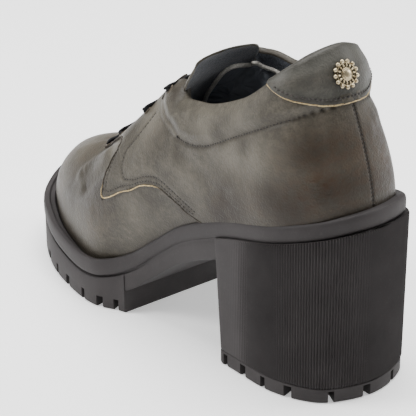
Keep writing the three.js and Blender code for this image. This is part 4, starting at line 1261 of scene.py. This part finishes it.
def heel_ring(runs, proud, breast, low, share_up=0.0, notch=0.0):
    """A ring of the heel's edge and flat breast, at a share of the way from a height to the lip."""
    s = np.interp(runs, edge_run, edge_s)
    flat = plan(s) + outward(s) * (np.broadcast_to(proud, len(s)) - notch)[:, None]
    turn, r = np.linspace(0.2, math.pi / 2, 6), BREAST_CORNER
    inward, ahead = r * (1 - np.cos(turn)), -(breast - r + r * np.sin(turn))
    lateral = np.stack([flat[-1, 0] - inward, ahead], -1)
    medial = np.stack([flat[0, 0] + inward, ahead], -1)[::-1]
    flat = np.vstack([flat, lateral, medial])
    lip = lip_foot(-flat[:, 1]) + 0.04 * LIP_HEIGHT
    return np.column_stack([flat, low + (lip - low) * share_up])


def add_block(rings, runs):
    """Stacked rings of the heel, begun at the back so that their caps run across."""
    rings = [np.roll(ring, -(len(runs) // 2), axis=0) for ring in rings]
    sole_parts.add(rings, capped(rings))


foot_proud = HEEL_PROUD - HEEL_TAPER
heel_notches = [(float(np.interp(s, edge_s, edge_run)), notch_width(k)) for k, s in enumerate(HEEL_NOTCHES)]
foot_runs, foot_notched = with_notches(np.linspace(0, edge_end, 150), heel_notches, 2.0)
foot_depth = np.where(foot_notched, NOTCH_REACH, 0.0)
foot_rings = [
    heel_ring(foot_runs, foot_proud - inset, HEEL_LENGTH - breast_inset, height, 0, foot_depth * share_in)
    for inset, breast_inset, share_in, height in (
        (FOOT_ROUND, FOOT_ROUND, 1, 0), (0.35, 0.35, 1, 0.35), (0, 0, 1, FOOT_ROUND),
        (0, 0, 1, NOTCH_HEIGHT - 0.7), (0, 0, 0.8, NOTCH_HEIGHT - 0.1), (0, 0, 0, NOTCH_HEIGHT),
        (0, 0, 0, HEEL_FOOT - 0.4), (0.5, 0, 0, HEEL_FOOT + 0.1),
    )
]
border = foot_rings[0].copy()
middle_ring = border[:, :2].mean(0)
border[:, :2] = middle_ring + (border[:, :2] - middle_ring) * 0.66
add_block([border + (0, 0, CELL_DEPTH), border] + foot_rings, foot_runs)
for along in (24.0, 41.0):
    cross_bar(0, 48, along, 5, 0.1, 4)

rib_count = int(round(edge_end / RIB_PITCH))
even_run = np.linspace(0, edge_end, rib_count * RIB_POINTS + 1)
rib_wave = np.cos(np.arange(len(even_run)) * 2 * np.pi / RIB_POINTS)
rib_proud = RIB_DEPTH * smooth(np.minimum(even_run, edge_end - even_run), 2, 34) * rib_wave
block_rings = [
    heel_ring(even_run, foot_proud + HEEL_TAPER * share_up - rounding + rib_proud,
              HEEL_LENGTH + BREAST_SLOPE * share_up, HEEL_FOOT, share_up)
    for share_up, rounding in ((0, 0.5), (0.015, 0), (0.25, 0), (0.5, 0), (0.75, 0), (0.985, 0), (1, 0.5))
]
add_block(block_rings, even_run)
sole = sole_parts.build("sole_unit", rubber(), smooth_angle=38)
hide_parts("sole")

# Everything rides on the one body; the slot listed with each piece is not applied
SLOTS = {
    shell: "upper_leather", lining: "insole_cloth", binding_object: "insole_cloth",
    insole: "insole_cloth", heel_tab: "tab_leather", tongue: "tongue_leather",
    stitch_object: "upper_leather", edge_object: "upper_leather", laces: "lace_cord",
    eyelets: "stud_metal", stud: "stud_metal", sole: "sole_rubber",
}
for piece, slot in SLOTS.items():
    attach(piece, "root")

# Floor, lights and camera
FLOOR = 6.0
floor_mesh = bpy.data.meshes.new("floor")
corners = [(-FLOOR, -FLOOR, 0), (FLOOR, -FLOOR, 0), (FLOOR, FLOOR, 0), (-FLOOR, FLOOR, 0)]
floor_mesh.from_pydata(corners, [], [(0, 1, 2, 3)])
floor = bpy.data.objects.new("floor", floor_mesh)
bpy.context.scene.collection.objects.link(floor)
floor_mesh.materials.append(Paint(
    "pale_floor", Base_Color=(0.97, 0.97, 0.97, 1), Roughness=0.7, Emission_Color=(1, 1, 1, 1),
    Emission_Strength=0.45,
).finish())

world = bpy.data.worlds.new("studio")
bpy.context.scene.world = world
world.use_nodes = True
background = world.node_tree.nodes["Background"]
background.inputs["Color"].default_value = (1, 1, 1, 1)
background.inputs["Strength"].default_value = 0.3


def soft_light(name, place, target, size, power):
    light = bpy.data.lights.new(name, "AREA")
    light.shape = "RECTANGLE"
    light.size, light.size_y = size
    light.energy = power
    obj = bpy.data.objects.new(name, light)
    obj.location = place
    obj.rotation_euler = (Vector(target) - Vector(place)).to_track_quat("-Z", "Y").to_euler()
    bpy.context.scene.collection.objects.link(obj)


soft_light("key_soft", (1.15, -0.85, 1.1), (0, 0, 0.06), (0.7, 0.7), 30)
soft_light("top_soft", (-0.2, -0.1, 1.6), (0, 0, 0.05), (1.3, 1.3), 54)
soft_light("rim_soft", (-1.3, 0.8, 0.8), (0, 0, 0.08), (0.7, 0.7), 14)

CAMERA_PLACE = Vector((0.5305, 0.6453, 0.4176))
CAMERA_AIM = Vector((0.0122, 0.0218, 0.0625))
CAMERA_ROLL = math.radians(-0.39)
CAMERA_LENS = 156
data = bpy.data.cameras.new("view")
data.sensor_width = 36
data.lens = CAMERA_LENS
camera = bpy.data.objects.new("view", data)
camera.location = CAMERA_PLACE
turn = (CAMERA_AIM - CAMERA_PLACE).to_track_quat("-Z", "Y").to_matrix().to_4x4()
camera.rotation_euler = (turn @ Matrix.Rotation(CAMERA_ROLL, 4, "Z")).to_euler()
bpy.context.scene.collection.objects.link(camera)
bpy.context.scene.camera = camera
